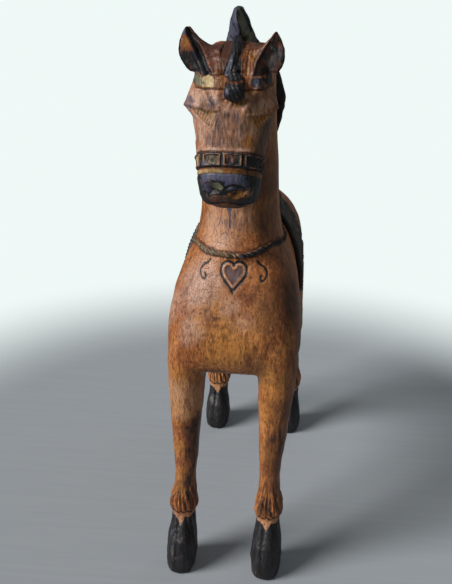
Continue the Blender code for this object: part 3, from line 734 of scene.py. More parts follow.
def foot(skin, centre_x, centre_y, pastern_z):
    """Fetlock tuft, pastern and painted hoof of one leg."""
    side_x, side_y = skin.x - centre_x, skin.y - centre_y
    angle = np.arctan2(side_x, -side_y)
    near = step_down(np.hypot(side_x, side_y), 0.055, 0.075)
    tuft = between(skin.z - pastern_z, (0.006, 0.018), (0.03, 0.085))
    uneven = skin.noise((0.014, 0.014, 0.03), 47)
    wave = np.cos(11 * angle + 3.0 * np.sin(40 * (skin.z - pastern_z)) + 2.6 * uneven)
    hairs = np.cos(31 * angle + 4.0 * uneven)
    skin.push(near * tuft * (0.0011 * wave + 0.0006 * hairs - 0.0004))
    hem = pastern_z + 0.0095 + 0.0024 * np.cos(7 * angle + 2.2 * uneven) + 0.0012 * np.cos(16 * angle)
    groove(skin, skin.z - hem, 0.0028, 0.0014, "black", near > 0)
    top = pastern_z - 0.001 - 0.012 * np.clip(1 - np.abs(angle) / 0.55, 0, 1) + 0.001 * uneven
    hoof = near * step_up(top - skin.z, -0.0008, 0.0012)
    facets = np.abs(np.sin(3.5 * angle + 0.5))
    skin.push(hoof * (-0.0014 + 0.0026 * facets * step_up(skin.z, 0.004, 0.03)))
    skin.push(hoof * 0.0004 * skin.noise((0.003, 0.003, 0.016), 48))
    groove(skin, skin.z - top, 0.0022, 0.0009, where=near > 0)
    skin.clean(hoof, "brown", "ochre", "pale")
    skin.paint(black=1.25 * hoof)
    rubbed = step_up(skin.noise((0.006, 0.006, 0.04), 9), -0.1, 0.6) * step_up(skin.z, 0.006, 0.03)
    # Painted highlight: grey and green streaks, partly worn paint, are stronger on the hoof's lit side.
    lit = step_down(angle, -0.3, 0.5) * step_up(angle, -1.5, -0.9)
    skin.paint(grey=hoof * rubbed * (0.2 + 0.25 * lit))
    skin.paint(green=hoof * (0.16 + 0.32 * lit) * rubbed * step_up(skin.noise(0.016, 49), -0.2, 0.4))
    chip = step_up(skin.noise((0.004, 0.004, 0.008), 50), 0.6, 0.8) * step_down(skin.z, 0.015, 0.055)
    skin.clean(0.6 * hoof * chip, "black", "grey", "green")
    skin.paint(brown=0.9 * hoof * chip)
    skin.paint(brown=0.95 * near * tuft * step_down(wave, -0.8, 0.0))
    skin.paint(black=0.7 * near * tuft * step_down(hairs, -0.9, -0.4) * step_up(uneven, -0.4, 0.3))
    lower = near * step_down(skin.z, pastern_z, pastern_z + 0.012) * (1 - hoof)
    skin.paint(ochre=0.5 * lower, pale=0.35 * lower)


def carve_trunk(skin):
    """Everything on the body, neck and legs. The same carving runs through every joint."""
    tool_marks(skin, (0.013, 0.013, 0.036), 0.001, seed=3)
    fine = 0.00035 * skin.noise((0.0042, 0.0042, 0.018), 5)
    skin.push(fine)
    if skin.z.max() > NECKLACE_Z - 0.05:
        carve_necklace(skin)
        carve_chest(skin)
    paint_trunk(skin)
    if skin.z.min() < FRONT_PASTERN_Z:
        for node, (sole_x, sole_y, _) in SOLES.items():
            foot(skin, sole_x, sole_y, HIND_PASTERN_Z if "hind" in node else FRONT_PASTERN_Z)


SOLES = {row["name"]: row["pos_m"] for row in frame["record"]["mounts"]}
SOLES = {"leg_" + name.removeprefix("sole_"): at for name, at in SOLES.items()}


def make_body():
    low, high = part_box("body_block")
    room = Vector((0.02, 0.02, 0.045))
    skin = Skin(trunk_clay(low - room, high + room, 0.0024))
    carve_trunk(skin)
    show(skin, "body", ("body_block",), STAIN, [((0, 0, HIP_Z), (0, 0, -1)), NECK_JOINT])


def make_neck():
    low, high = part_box("neck_block")
    below, above = Vector((0.035, 0.03, 0.035)), Vector((0.035, 0.06, 0.01))
    skin = Skin(trunk_clay(low - below, high + above, 0.0018))
    carve_trunk(skin)
    point, normal = NECK_JOINT
    show(skin, "neck", ("neck_block",), STAIN, [(point, [-n for n in normal])])


def make_leg(node):
    low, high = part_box(node)
    top = Vector((high.x + 0.006, high.y + 0.006, HIP_Z + 0.03))
    skin = Skin(trunk_clay(low - Vector((0.006, 0.006, 0.006)), top, 0.0016))
    carve_trunk(skin)
    show(skin, node.replace("leg", "carved_leg"), (node,), STAIN, [((0, 0, HIP_Z), (0, 0, 1))])


make_body()
make_neck()
for leg in TRUNK[2:]:
    make_leg(leg)


# Head and ears, carved as one and then parted at their glue faces

# For each of the horse's sides: the eye's outer end, inner end, lowest point, lower lid and deepest point
EYES = {
    1: (
        (0.064, -0.301, 0.86), (0.0307, -0.3372, 0.863), (0.0421, -0.33, 0.842),
        (0.053, -0.316, 0.85), (0.0465, -0.316, 0.858),
    ),
    -1: (
        (-0.059, -0.311, 0.867), (-0.015, -0.3372, 0.868), (-0.0206, -0.3415, 0.843),
        (-0.036, -0.332, 0.8505), (-0.033, -0.324, 0.862),
    ),
}
BROWS = {  # horse's side: the ridge of the brow, from its outer point inwards
    1: ((0.0725, -0.2988, 0.869), (0.0624, -0.309, 0.863), (0.029, -0.3362, 0.865)),
    -1: ((-0.0725, -0.2988, 0.869), (-0.056, -0.313, 0.872), (-0.015, -0.3352, 0.871)),
}
NOSTRILS = (  # deepest point, then the rim
    (
        (-0.018, -0.348, 0.7525), (-0.034, -0.35, 0.764), (-0.018, -0.359, 0.77), (-0.003, -0.362, 0.764),
        (-0.004, -0.36, 0.75), (-0.026, -0.351, 0.746),
    ),
    (
        (0.016, -0.346, 0.748), (0.002, -0.36, 0.754), (0.012, -0.361, 0.764), (0.036, -0.35, 0.758),
        (0.034, -0.348, 0.742), (0.006, -0.354, 0.74),
    ),
)
CROWN_Z = 0.899  # lower edge of the band across the forehead
SLOT = 0.0178  # half the slot between the ears, which the forelock fills
BUN = (0.0095, -0.338, 0.899)  # the knot at the forelock's tip
BAND_TOP_Z = 0.9165  # upper edge of that band, where the ears and the poll begin
EAR_FOLDS = {  # horse's side: the line in the front view, (x, z), where the ear folds
    -1: ((-0.027, 0.912), (-0.04, 0.9283), (-0.051, 0.947), (-0.0624, 0.9674), (-0.07, 0.986)),
    1: ((0.0315, 0.912), (0.036, 0.9351), (0.043, 0.948), (0.0502, 0.9605), (0.0644, 0.9811)),
}


def hull_of(corners):
    """Points and triangles of the convex hull of a few corners."""
    shape = bmesh.new()
    for corner in corners:
        shape.verts.new(corner)
    bmesh.ops.convex_hull(shape, input=shape.verts)
    bmesh.ops.triangulate(shape, faces=shape.faces)
    shape.verts.index_update()
    points = np.array([v.co for v in shape.verts], np.float32)
    triangles = np.array([[v.index for v in face.verts] for face in shape.faces], np.int32)
    shape.free()
    return points, triangles


def brow_wedge(side):
    """Carries the brow's upper facet over to the forehead."""
    return hull_of([
        BROWS[side][0], BROWS[side][2], (side * 0.014, -0.327, 0.9), (side * 0.052, -0.312, 0.9),
        (side * 0.056, -0.24, 0.9), (side * 0.056, -0.24, 0.862), (side * 0.015, -0.29, 0.87),
        (side * 0.01, -0.3325, 0.88),
    ])


def across(half_width, *profile):
    """The hull of a profile, (y, z), drawn across the head."""
    return hull_of([(side * half_width, y, z) for side in (1, -1) for y, z in profile])


def poll_wedge():
    """Fills the slot between the ears flush with their inner faces."""
    front_edge = (-0.3108, 0.915), (-0.3108, 0.927), (-0.2998, 0.9405), (-0.2798, 0.949)
    return across(SLOT + 0.002, *front_edge, (-0.215, 0.9515), (-0.215, 0.915))


def browband_wedge():
    """Eases the brow out to meet the front of the ears."""
    return across(0.046, (-0.3155, 0.899), (-0.3135, 0.917), (-0.309, 0.924), (-0.25, 0.924), (-0.25, 0.899))


def crown_clay():
    """Head and ears as one form."""
    clay = clay_of(("head_block", "ear_left", "ear_right"), step=0.00125)
    for wedge in (brow_wedge(1), brow_wedge(-1), poll_wedge(), browband_wedge()):
        clay.field = np.minimum(clay.field, clay.read(*wedge))
    clay.heal(0.0006).soften(0.002)
    for outer, inner, low, lid, deep in EYES.values():
        clay.pit(deep, (outer, lid, low, inner))
    for deep, *rim in NOSTRILS:
        clay.pit(deep, rim)
    return clay.soften(0.0009)


def noseband_z(y):
    """Middle of the noseband, which slopes down towards the jaw."""
    return 0.803 - 0.45 * np.clip(y + 0.357, 0, 0.06)


def carve_noseband(skin):
    """A strap with framed panels across the nose."""
    lower = step_down(skin.z, 0.84, 0.86)
    up = skin.z - noseband_z(skin.y) + 0.0009 * skin.noise(0.014, 21)
    along = skin.x + np.sign(skin.x) * np.maximum(0, skin.y + 0.325)
    strap = lower * step_down(np.abs(up), 0.0106, 0.0122)
    skin.push(0.0022 * strap)
    groove(skin, np.abs(up) - 0.0126, 0.0024, 0.0016, "brown", lower > 0)
    cell = along - 0.009
    cell = cell - 0.031 * np.round(cell / 0.031)
    square = np.maximum(np.abs(cell) / 0.0142, np.abs(up) / 0.0098) + 0.05 * skin.noise(0.006, 24)
    panel = step_down(square, 0.66, 0.78)
    rim = bump(square - 0.84, 0.17)
    skin.push(strap * (0.0009 * rim - 0.0012 * panel))
    skin.push(strap * panel * 0.0007 * skin.noise(0.0032, 22))
    skin.clean(strap)
    skin.paint(black=strap * 0.95)
    skin.clean(strap * rim * (0.62 + 0.3 * skin.noise(0.007, 20)), "black")
    # Painted shade: the rims are dimmer on the right side, away from the light.
    dim = 1 - 0.55 * step_up(skin.x, 0.02, 0.03)
    skin.paint(gilt=strap * rim * 0.42 * dim, pale=strap * rim * 0.6 * dim, brown=strap * rim * 0.5)
    speckle = 0.75 + 0.25 * skin.noise(0.006, 23)
    panels = (
        ("gilt", -0.048, 0.75), ("green", -0.022, 0.62), ("pale", 0.009, 0.62), ("green", 0.04, 0.25),
        ("grey", 0.07, 0.35),
    )
    for mask, centre, strength in panels:
        one = strap * panel * step_down(np.abs(along - centre), 0.015, 0.016)
        skin.paint(**{mask: strength * one * speckle})
        if centre < 0.03:
            skin.clean(0.55 * one * speckle, "black")
    skin.paint(grey=strap * 0.9 * bump(np.hypot(along + 0.034, up + 0.006), 0.0085))
    skin.push(-0.0008 * strap * step_up(np.abs(cell), 0.0142, 0.0152))


def carve_muzzle(skin):
    """Painted muzzle under the noseband: slate over black, with worn nostrils and lips."""
    under = noseband_z(skin.y) - 0.0145 - skin.z
    below = step_up(under, -0.001, 0.0014) * step_down(skin.y, -0.245, -0.232)
    near = below * step_down(skin.y, -0.3, -0.28)
    skin.clean(below)
    skin.paint(black=1.2 * below)
    groove(skin, under - 0.0075, 0.0024, 0.001)
    strip = near * step_down(under, 0.0064, 0.008)
    skin.clean(strip * (0.9 + 0.25 * skin.noise(0.006, 34)))
    skin.paint(ochre=strip * 0.9, gilt=strip * 0.52 * step_down(skin.x, -0.006, 0.006))
    skin.paint(brown=strip * (0.55 + 0.5 * skin.noise(0.005, 35)))
    skin.paint(brown=strip * 0.85 * step_up(skin.x, 0.01, 0.024))
    lip = skin.z - 0.73 - 0.0015 * np.cos(110 * skin.x)
    groove(skin, lip, 0.0026, 0.002, where=near > 0.5)
    beads = np.cos(2 * math.pi * skin.x / 0.0036)
    rim = near * bump(lip + 0.0045, 0.0035)
    skin.push(rim * (0.001 + 0.0004 * beads))
    skin.clean(rim * 0.8, "black")
    skin.paint(brown=rim * 0.75 * step_down(beads, -0.2, 0.6))
    rough = skin.noise(0.0042, 32)
    lobe = near * bump(np.hypot((skin.x + 0.03) / 1.5, skin.z - 0.764 - 0.2 * (skin.x + 0.03)), 0.012)
    arch = bump(np.hypot((skin.x - 0.013) / 1.3, skin.z - 0.751) - 0.012, 0.0036)
    arch = near * arch * step_up(skin.z, 0.752, 0.758)
    swirl = bump(np.hypot(skin.x + 0.025, skin.z - 0.756) - 0.009, 0.0026)
    swirl = near * swirl * step_down(skin.x, -0.026, -0.02)
    worn = near * daub(skin, (0.02, 0.746), (0.019, 0.009), 33)
    skin.push(0.0014 * lobe - 0.0018 * arch - 0.0012 * swirl + 0.001 * worn * rough)
    field = near * (1 - strip)
    rubbed_through = (  # centre, size, how far the black is rubbed, and the stain that shows
        ((-0.031, 0.76), (0.017, 0.013), 0.25, "brown", 0.95),
        ((-0.031, 0.764), (0.013, 0.008), 0.55, "pale", 1.0),
        ((-0.004, 0.735), (0.033, 0.011), 0.5, "brown", 0.9),
        ((-0.012, 0.742), (0.02, 0.007), 0.35, "pale", 0.35),
        ((0.02, 0.746), (0.018, 0.0085), 0.85, "ochre", 0.75),
        ((0.034, 0.752), (0.011, 0.01), 0.4, "pale", 0.35),
    )
    for count, (centre, size, rubbed, stain, strength) in enumerate(rubbed_through):
        touch = field * daub(skin, centre, size, 90 + 3 * count)
        skin.clean(rubbed * touch, "black")
        skin.paint(**{stain: strength * touch})
    skin.paint(brown=worn * step_down(rough, -0.35, 0.3))
    touch_up(skin, field, (
        ("grey", (-0.006, 0.779), (0.033, 0.012), 0.85), ("grey", (-0.032, 0.776), (0.011, 0.013), 0.7),
        ("grey", (0.012, 0.768), (0.015, 0.015), 0.8), ("grey", (0.025, 0.764), (0.01, 0.014), 0.62),
        ("grey", (-0.03, 0.759), (0.013, 0.014), 0.55), ("green", (0.038, 0.776), (0.011, 0.016), 0.26),
        ("green", (-0.013, 0.761), (0.011, 0.0075), 0.85), ("gilt", (-0.0165, 0.7625), (0.006, 0.0045), 0.42),
        ("grey", (0.008, 0.733), (0.028, 0.008), 0.34), ("green", (-0.026, 0.742), (0.012, 0.008), 0.36),
    ), 120)
    skin.clean(np.maximum(arch, 0.8 * worn), "grey", "green")
    skin.paint(black=np.maximum(arch, 0.9 * swirl))


def carve_brows(skin, forward, view):
    """Brow ridges, lower lids and the painted hollows of the eyes."""
    for side in (1, -1):
        ridge = line_distance(skin.points, BROWS[side])
        skin.push(0.0016 * bump(ridge, 0.004))
        # Painted highlight along the brow ridge, stronger on the lit side.
        skin.paint(pale=0.75 * bump(ridge, 0.0032) * (0.9 if side < 0 else 0.35))
        outer, inner, low, lid, _ = EYES[side]
        rim = (outer, lid, low)
        groove(skin, line_distance(skin.points, rim), 0.0021, 0.0009)
        skin.paint(brown=0.85 * bump(line_distance(skin.points, rim), 0.0024))
        socket = inside_outline(view, np.array([*rim, inner])[:, [0, 2]]) & (forward > 0)
        right = socket * (side < 0)
        fold = np.cos(2 * math.pi * (skin.x + side * 0.35 * skin.z) / 0.0046 + 1.5 * skin.noise(0.01, 26))
        skin.push(0.00035 * fold * socket)
        skin.clean(1.0 * socket)
        skin.paint(ochre=(0.85 if side > 0 else 0.4) * socket, green=(0.42 + 0.1 * fold) * right)
        # Painted highlight: pale at the inner end of the lit eye.
        skin.paint(pale=0.55 * step_up(skin.x, -0.03, -0.02) * right)
        skin.paint(brown=0.42 * step_down(fold, -0.9, -0.3) * socket)
        skin.paint(brown=0.9 * bump(line_distance(skin.points, (outer, inner)), 0.003) * socket)


def carve_face(skin):
    """Brows, eyes, forehead and cheeks."""
    forward = front(skin)
    view = skin.points[:, [0, 2]]
    brow = forward * between(skin.z, (0.862, 0.868), (0.8985, 0.8995))
    # Pale on the lit left brow: the wood's tint and a painted sheen.
    touch_up(skin, brow, (
        ("pale", (-0.04, 0.883), (0.027, 0.019), 0.95), ("grey", (-0.062, 0.874), (0.012, 0.015), 0.55),
        ("grey", (-0.025, 0.88), (0.01, 0.013), 0.5),
    ), 150)
    skin.paint(pale=brow * 0.55 * step_down(skin.x, -0.024, -0.008))
    skin.paint(ochre=brow * 0.55 * bump(skin.x + 0.022, 0.01))
    # Painted highlight: ochre and pale on the right brow facet, which lies in shade.
    skin.paint(ochre=brow * 0.95 * bump(skin.x - 0.034, 0.022))
    skin.clean(brow * 0.8 * step_up(skin.x, 0.02, 0.034), "pale")
    skin.paint(pale=brow * 0.6 * daub(skin, (0.056, 0.876), (0.013, 0.012), 159))
    skin.paint(brown=brow * 0.6 * bump(np.hypot(skin.x - 0.066, skin.z - 0.889), 0.01))
    face = forward * between(skin.z, (0.8, 0.81), (0.89, 0.8985))
    skin.paint(pale=0.58 * face * step_down(np.abs(skin.x - 0.004), 0.03, 0.07))
    mottle = skin.noise((0.009, 0.009, 0.02), 37)
    skin.paint(brown=0.62 * face * step_up(mottle, 0.1, 0.7))
    bridge = forward * between(skin.z, (0.812, 0.822), (0.864, 0.874))
    strokes = skin.noise((0.0028, 0.0028, 0.03), 27)
    skin.paint(brown=bridge * (0.7 + 0.6 * strokes) * step_down(np.abs(skin.x - 0.003), 0.024, 0.034))
    middle = bump(skin.x - 0.004, 0.013) * step_up(skin.z, 0.822, 0.858)
    skin.paint(pale=bridge * (0.95 + 0.4 * strokes) * middle)
    # Pale on the lit left of the bridge: the wood's tint and a painted sheen.
    skin.paint(pale=bridge * (0.72 + 0.5 * strokes) * step_down(skin.x, -0.032, -0.024))
    right = bump(skin.x + 0.026, 0.007) * step_down(skin.z, 0.842, 0.85)
    left = bump(skin.x - 0.014, 0.01) * step_up(skin.z, 0.822, 0.835)
    skin.paint(grey=bridge * (0.42 + 0.5 * strokes) * right)
    skin.paint(grey=bridge * (0.45 + 0.3 * strokes) * bump(skin.x + 0.013, 0.009))
    skin.paint(grey=bridge * (0.42 + 0.3 * strokes) * left)
    orange = bump(skin.away((0.032, -0.3383, 0.8255)), 0.018)
    skin.clean(1.4 * orange, "brown", "grey", "pale")
    skin.paint(ochre=0.45 * orange)
    # Painted shade: the right cheek is painted dark brown.
    cheek = step_up(skin.x - 0.35 * (skin.z - 0.83), 0.038, 0.05)
    skin.paint(brown=0.95 * cheek * between(skin.z, (0.7, 0.71), (0.835, 0.89)))
    skin.push(bridge * 0.0003 * strokes)
    band_edge = skin.z - noseband_z(skin.y) - 0.017
    skin.paint(pale=0.9 * bump(band_edge, 0.0055) * forward * step_down(skin.x, 0.025, 0.045))
    carve_brows(skin, forward, view)
    beside = (forward > 0) & (np.abs(skin.x) > 0.004)
    groove(skin, skin.z - CROWN_Z + 0.001 * skin.noise(0.012, 30), 0.0024, 0.0014, "brown", beside)
    fan = np.arctan2(skin.x - BUN[0], BUN[2] - skin.z)
    reach = np.hypot(skin.x - BUN[0], skin.z - BUN[2])
    apron = forward * step_down(reach, 0.02, 0.0265) * step_down(np.abs(fan + 0.15), 0.7, 1.1)
    rays = np.cos(19 * fan + 1.2 * skin.noise(0.01, 36))
    skin.push(apron * 0.0005 * rays)
    skin.clean(0.8 * apron)
    skin.paint(ochre=apron * 0.75, brown=apron * 0.85 * step_down(rays, -0.6, 0.2))


def paint_crown(skin):
    """Band of painted blocks across the forehead."""
    wave = 0.0016 * skin.noise(0.01, 29)
    band = step_up(skin.z + wave, CROWN_Z, CROWN_Z + 0.0015) * step_down(skin.z - wave, 0.916, 0.92)
    band = band * front(skin, 0.4) * step_up(np.abs(skin.x - 0.0095), 0.018, 0.02)
    skin.push(band * (0.0008 + 0.0004 * skin.noise(0.0045, 28)))
    skin.clean(band)
    skin.paint(brown=0.65 * band)
    touch_up(skin, band, (
        ("black", (0.062, 0.909), (0.018, 0.012), 0.85), ("black", (0.039, 0.909), (0.008, 0.009), 0.95),
        ("grey", (0.039, 0.9085), (0.0072, 0.0075), 0.55), ("pale", (0.03, 0.908), (0.003, 0.009), 0.55),
        ("ochre", (0.049, 0.908), (0.003, 0.009), 0.55), ("black", (-0.056, 0.91), (0.016, 0.011), 0.7),
        ("green", (-0.052, 0.908), (0.013, 0.0085), 0.72), ("grey", (-0.064, 0.908), (0.008, 0.009), 0.6),
        ("pale", (-0.032, 0.908), (0.012, 0.01), 1.1), ("gilt", (-0.033, 0.908), (0.0105, 0.0095), 1.45),
        ("ochre", (-0.016, 0.908), (0.007, 0.009), 0.7), ("gilt", (-0.042, 0.912), (0.006, 0.004), 0.6),
    ), 170)
    for seam in (0.03, 0.0485, -0.023, -0.043):
        cut = np.where(band > 0.5, skin.x + 2 * wave - seam, 1.0)
        groove(skin, cut, 0.0018, 0.0007)
        skin.paint(brown=0.7 * bump(cut, 0.0018))


def paint_stripes(skin, forward):
    """Upright ochre stripes on the face of the poll."""
    sway = skin.x + 0.0012 * skin.noise(0.012, 54)
    lines = np.cos(2 * math.pi * sway / 0.0054 + 1.3 * skin.noise((0.006, 0.006, 0.018), 53))
    left = between(skin.x, (0.013, 0.017), (0.032, 0.037))
    right = between(skin.x, (-0.03, -0.024), (-0.009, -0.005)) * step_down(skin.z, 0.918, 0.942)
    face = forward * step_up(skin.z, BAND_TOP_Z, BAND_TOP_Z + 0.001) * (left + right)
    skin.push(0.0005 * face * lines)
    skin.clean(0.6 * face * step_up(lines, 0.0, 0.6), "black")
    skin.paint(ochre=0.62 * face * step_up(lines, 0.1, 0.9))
    skin.paint(black=0.4 * face * step_down(lines, -0.7, 0.0))


def carve_ears(skin):
    """Leaf ears, each with its fold and its web to the poll."""
    forward = front(skin) * step_up(skin.z, BAND_TOP_Z, BAND_TOP_Z + 0.002)
    mottle = skin.noise((0.006, 0.006, 0.009), 55)
    for side in (-1, 1):
        fold = np.array(EAR_FOLDS[side])
        outward = side * (skin.x - np.interp(skin.z, fold[:, 1], fold[:, 0]))
        leaf = forward * step_up(side * skin.x, 0.018, 0.026)
        if side < 0:
            valley = bump(outward + 0.001, 0.0085)
            lobe = np.clip(outward / 0.014, 0, 1)
            skin.push(leaf * (0.0055 * valley - 0.003 * np.sin(math.pi * lobe) + 0.0045 * lobe**3), (0, 1, 0))
            skin.push(leaf * 0.003 * step_down(outward, -0.02, 0.0), (0, 1, 0))
            # Painted shade: black in the valley between the lobe and the web.
            skin.paint(black=leaf * 1.2 * bump(outward + 0.001, 0.0105))
            skin.paint(grey=leaf * 0.75 * step_up(outward, 0.002, 0.006) * step_up(skin.z, 0.966, 0.974))
            lower = step_up(outward, 0.002, 0.006) * step_down(skin.z, 0.94, 0.958)
            skin.paint(black=leaf * (0.7 + 0.3 * mottle) * lower)
            patch = leaf * bump(np.hypot(skin.x + 0.07, (skin.z - 0.959) / 1.4), 0.01)
            skin.clean(1.4 * patch, "black", "grey")
            skin.paint(ochre=0.95 * patch, brown=0.45 * patch * step_up(mottle, -0.2, 0.5))
            # Painted shade: brown on the web, which faces away from the light.
            skin.paint(brown=leaf * (0.45 + 0.5 * mottle) * step_down(outward, -0.012, -0.006))
        else:
            hollow = step_up(outward, 0.0, 0.0035)
            skin.push(leaf * (0.004 * hollow + 0.003 * bump(outward - 0.018, 0.018)), (0, 1, 0))
            skin.push(leaf * 0.004 * step_down(outward, -0.016, 0.0), (0, 1, 0))
            # Painted shade: brown and black in the hollow, which faces away from the light.
            skin.paint(brown=leaf * hollow, black=leaf * hollow * (0.52 + 0.35 * mottle))
            top = step_up(mottle, -0.1, 0.5) * step_up(skin.z, 0.942, 0.96)
            skin.paint(green=leaf * hollow * 0.6 * top)
            # Painted highlight along the ear's edge, and painted light in ochre on the web, which faces the
            # light.
            skin.paint(pale=leaf * 0.8 * bump(outward + 0.0005, 0.0021))
            web = step_down(outward, -0.008, -0.002) * step_down(skin.z, 0.94, 0.955)
            skin.paint(ochre=leaf * (0.35 + 0.4 * mottle) * web)
    skin.push(0.0005 * mottle * step_up(skin.z, BAND_TOP_Z, BAND_TOP_Z + 0.002))
    paint_stripes(skin, forward)


def make_crown():
    """Head block and both ears."""
    skin = Skin(crown_clay())
    tool_marks(skin, (0.01, 0.01, 0.024), 0.0007, seed=13, lump=0.0004)
    skin.push(0.0003 * skin.noise((0.003, 0.003, 0.012), 15))
    carve_face(skin)
    carve_noseband(skin)
    carve_muzzle(skin)
    paint_crown(skin)
    carve_ears(skin)
    floor = (0, 0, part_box("ear_left")[0].z)
    show(skin, "head", ("head_block",), STAIN, [(floor, (0, 0, 1))])
    for side, node in ((1, "ear_left"), (-1, "ear_right")):
        cuts = [(floor, (0, 0, -1)), ((side * SLOT, 0, 0), (-side, 0, 0))]
        show(skin, f"carved_{node}", (node,), RED_STAIN, cuts)


# Forelock and mane

LOCK = (  # the raised lock, from the crest down to its tip, with its radius there
    (0.002, -0.232, 0.956, 0.0072), (0.0042, -0.262, 0.953, 0.007), (0.0046, -0.286, 0.9475, 0.0062),
    (0.0026, -0.302, 0.937, 0.0054), (-0.0012, -0.311, 0.925, 0.0046), (-0.0045, -0.315, 0.9165, 0.003),
)


def make_forelock():
    """The black lock that runs off centre down the poll and ends in a knot over the brow."""
    clay = clay_of(("forelock",), step=0.0011, margin=0.009)
    clay.field = np.minimum(clay.field, clay.read(*poll_wedge()))
    bridge = hull_of([
        (-0.006, -0.3, 0.904), (-0.006, -0.3, 0.925), (0.0235, -0.3, 0.904), (0.0235, -0.3, 0.925),
        (-0.004, -0.337, 0.899), (0.022, -0.337, 0.899), (-0.002, -0.334, 0.909), (0.02, -0.334, 0.909),
    ])
    clay.field = np.minimum(clay.field, clay.read(*bridge))
    line = np.array(LOCK)
    clay.lay(line[:, :3], line[:, 3])
    clay.soften(0.0013)
    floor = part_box("ear_left")[0].z
    behind = clay.y > -0.314
    beside = np.maximum(np.abs(clay.x) - SLOT, floor - clay.z)
    clay.field = np.where(behind, np.maximum(clay.field, beside), clay.field).astype(np.float32)
    skin = Skin(clay)
    forward = step_down(skin.normals()[:, 1], 0.2, 0.6)
    path = curve(line[:, :3], 4)
    away = line_distance(skin.points, path)
    lock = step_down(away, 0.007, 0.0092)
    knot = step_down(skin.y, -0.32, -0.3165)
    middle = np.interp(skin.z, line[::-1, 2], line[::-1, 0])
    strands = np.cos(2 * math.pi * ((skin.x - middle) / 0.0052 + 0.4 * np.sin(60 * skin.z)))
    skin.push(0.0006 * strands * lock * (1 - knot))
    skin.push(0.0006 * knot * np.cos(2 * math.pi * (skin.x + 0.5 * skin.z) / 0.007))
    skin.push(0.0004 * skin.noise(0.004, 56))
    skin.paint(brown=0.75 * (1 - knot))
    paint_stripes(skin, forward * (1 - lock) * (1 - knot))
    # Painted shade: black beside the lock, in the shaded slot.
    shade = between(skin.x, (0.004, 0.008), (0.014, 0.0175)) * step_down(skin.z, 0.935, 0.945)
    skin.paint(black=0.95 * shade)
    skin.clean(0.8 * shade, "ochre")
    skin.clean(1.2 * np.maximum(lock, knot), "brown", "ochre")
    skin.paint(black=1.2 * np.maximum(lock, knot))
    # Painted highlights: grey along the lock's left edge and on the left of the knot.
    edge = lock * (1 - knot) * bump(skin.x - middle + 0.0035, 0.0036)
    skin.paint(grey=0.85 * edge * step_down(skin.z, 0.94, 0.952))
    skin.paint(grey=knot * 0.85 * bump(np.hypot(skin.x + 0.0015, (skin.z - 0.9) / 1.3), 0.0075))
    seam = knot * bump(skin.z - 0.9125, 0.0022)
    skin.clean(0.9 * seam, "black")
    skin.paint(brown=0.7 * seam)
    show(skin, "carved_forelock", ("forelock",), RED_STAIN)


def comb(skin, where, flow, depth, sunk):
    """Combs hair into locks, half a turn of flow apart, with fine strands. Gives back their height."""
    ribs = np.abs(np.sin(flow))
    skin.push(where * (depth * ribs - sunk))
    skin.push(where * 0.0007 * np.cos(5 * flow))
    return ribs


def make_mane():
    """Wavy locks down the neck, under a faceted crest."""
    skin = Skin(clay_of(("mane",), step=0.0016).soften(0.0018))
    centre = -0.043 + (skin.z - 0.66) * (-0.087 / 0.285)
    angle = np.arctan2(skin.x, skin.y - centre)
    locks = step_down(skin.z, 0.93, 0.945)
    flow = 7.0 * np.abs(angle) + 1.3 * np.sin(46 * skin.z + 2.0 * np.abs(angle)) - 10 * skin.z
    ribs = comb(skin, locks, flow, 0.0032, 0.0026)
    forward = front(skin)
    high = step_up(skin.z, 0.935, 0.95)
    ridge = 0.0005 + 0.0035 * np.sin(120 * (skin.z - 0.955))
    skin.push(high * forward * 0.75 * np.minimum(np.abs(skin.x - ridge), 0.012), (0, 1, 0))
    crack = curve([(0.0075, 0.9965), (0.0105, 0.988), (0.015, 0.974), (0.0185, 0.96)])
    cut = line_distance(skin.points[:, [0, 2]], crack)
    groove(skin, cut, 0.003, 0.0026, where=(skin.x > 0.003) & (forward > 0))
    skin.push(0.0006 * skin.noise((0.005, 0.005, 0.012), 61))
    skin.paint(black=np.ones(len(skin.points)))
    speck = skin.noise((0.004, 0.004, 0.008), 62)
    left, right = skin.x < ridge - 0.001, skin.x > ridge + 0.0018
    skin.paint(grey=high * np.where(left, 0.85, 0.3) * (0.8 + 0.5 * speck))
    greened = np.where(right, 0.25 + 0.63 * forward, 0.36 * left)
    skin.paint(green=high * greened * (0.8 + 0.6 * speck))
    skin.clean(0.9 * high * forward * bump(skin.x - ridge, 0.0045), "green")
    skin.paint(grey=0.6 * high * forward * bump(skin.x - ridge, 0.0032))
    crown = step_up(skin.z, 0.982, 0.99)
    skin.paint(grey=crown * (0.55 + 0.5 * speck))
    skin.clean(np.where(skin.x > 0.003, 1.2 * bump(cut, 0.0032) * forward, 0), "grey", "green", "pale")
    # Painted highlight: grey on the crests of the locks.
    skin.paint(grey=0.35 * locks * step_up(ribs, 0.75, 1.0) * step_up(skin.noise(0.02, 63), -0.2, 0.5))
    show(skin, "carved_mane", ("mane",), EBONISED)


# Saddle and tail

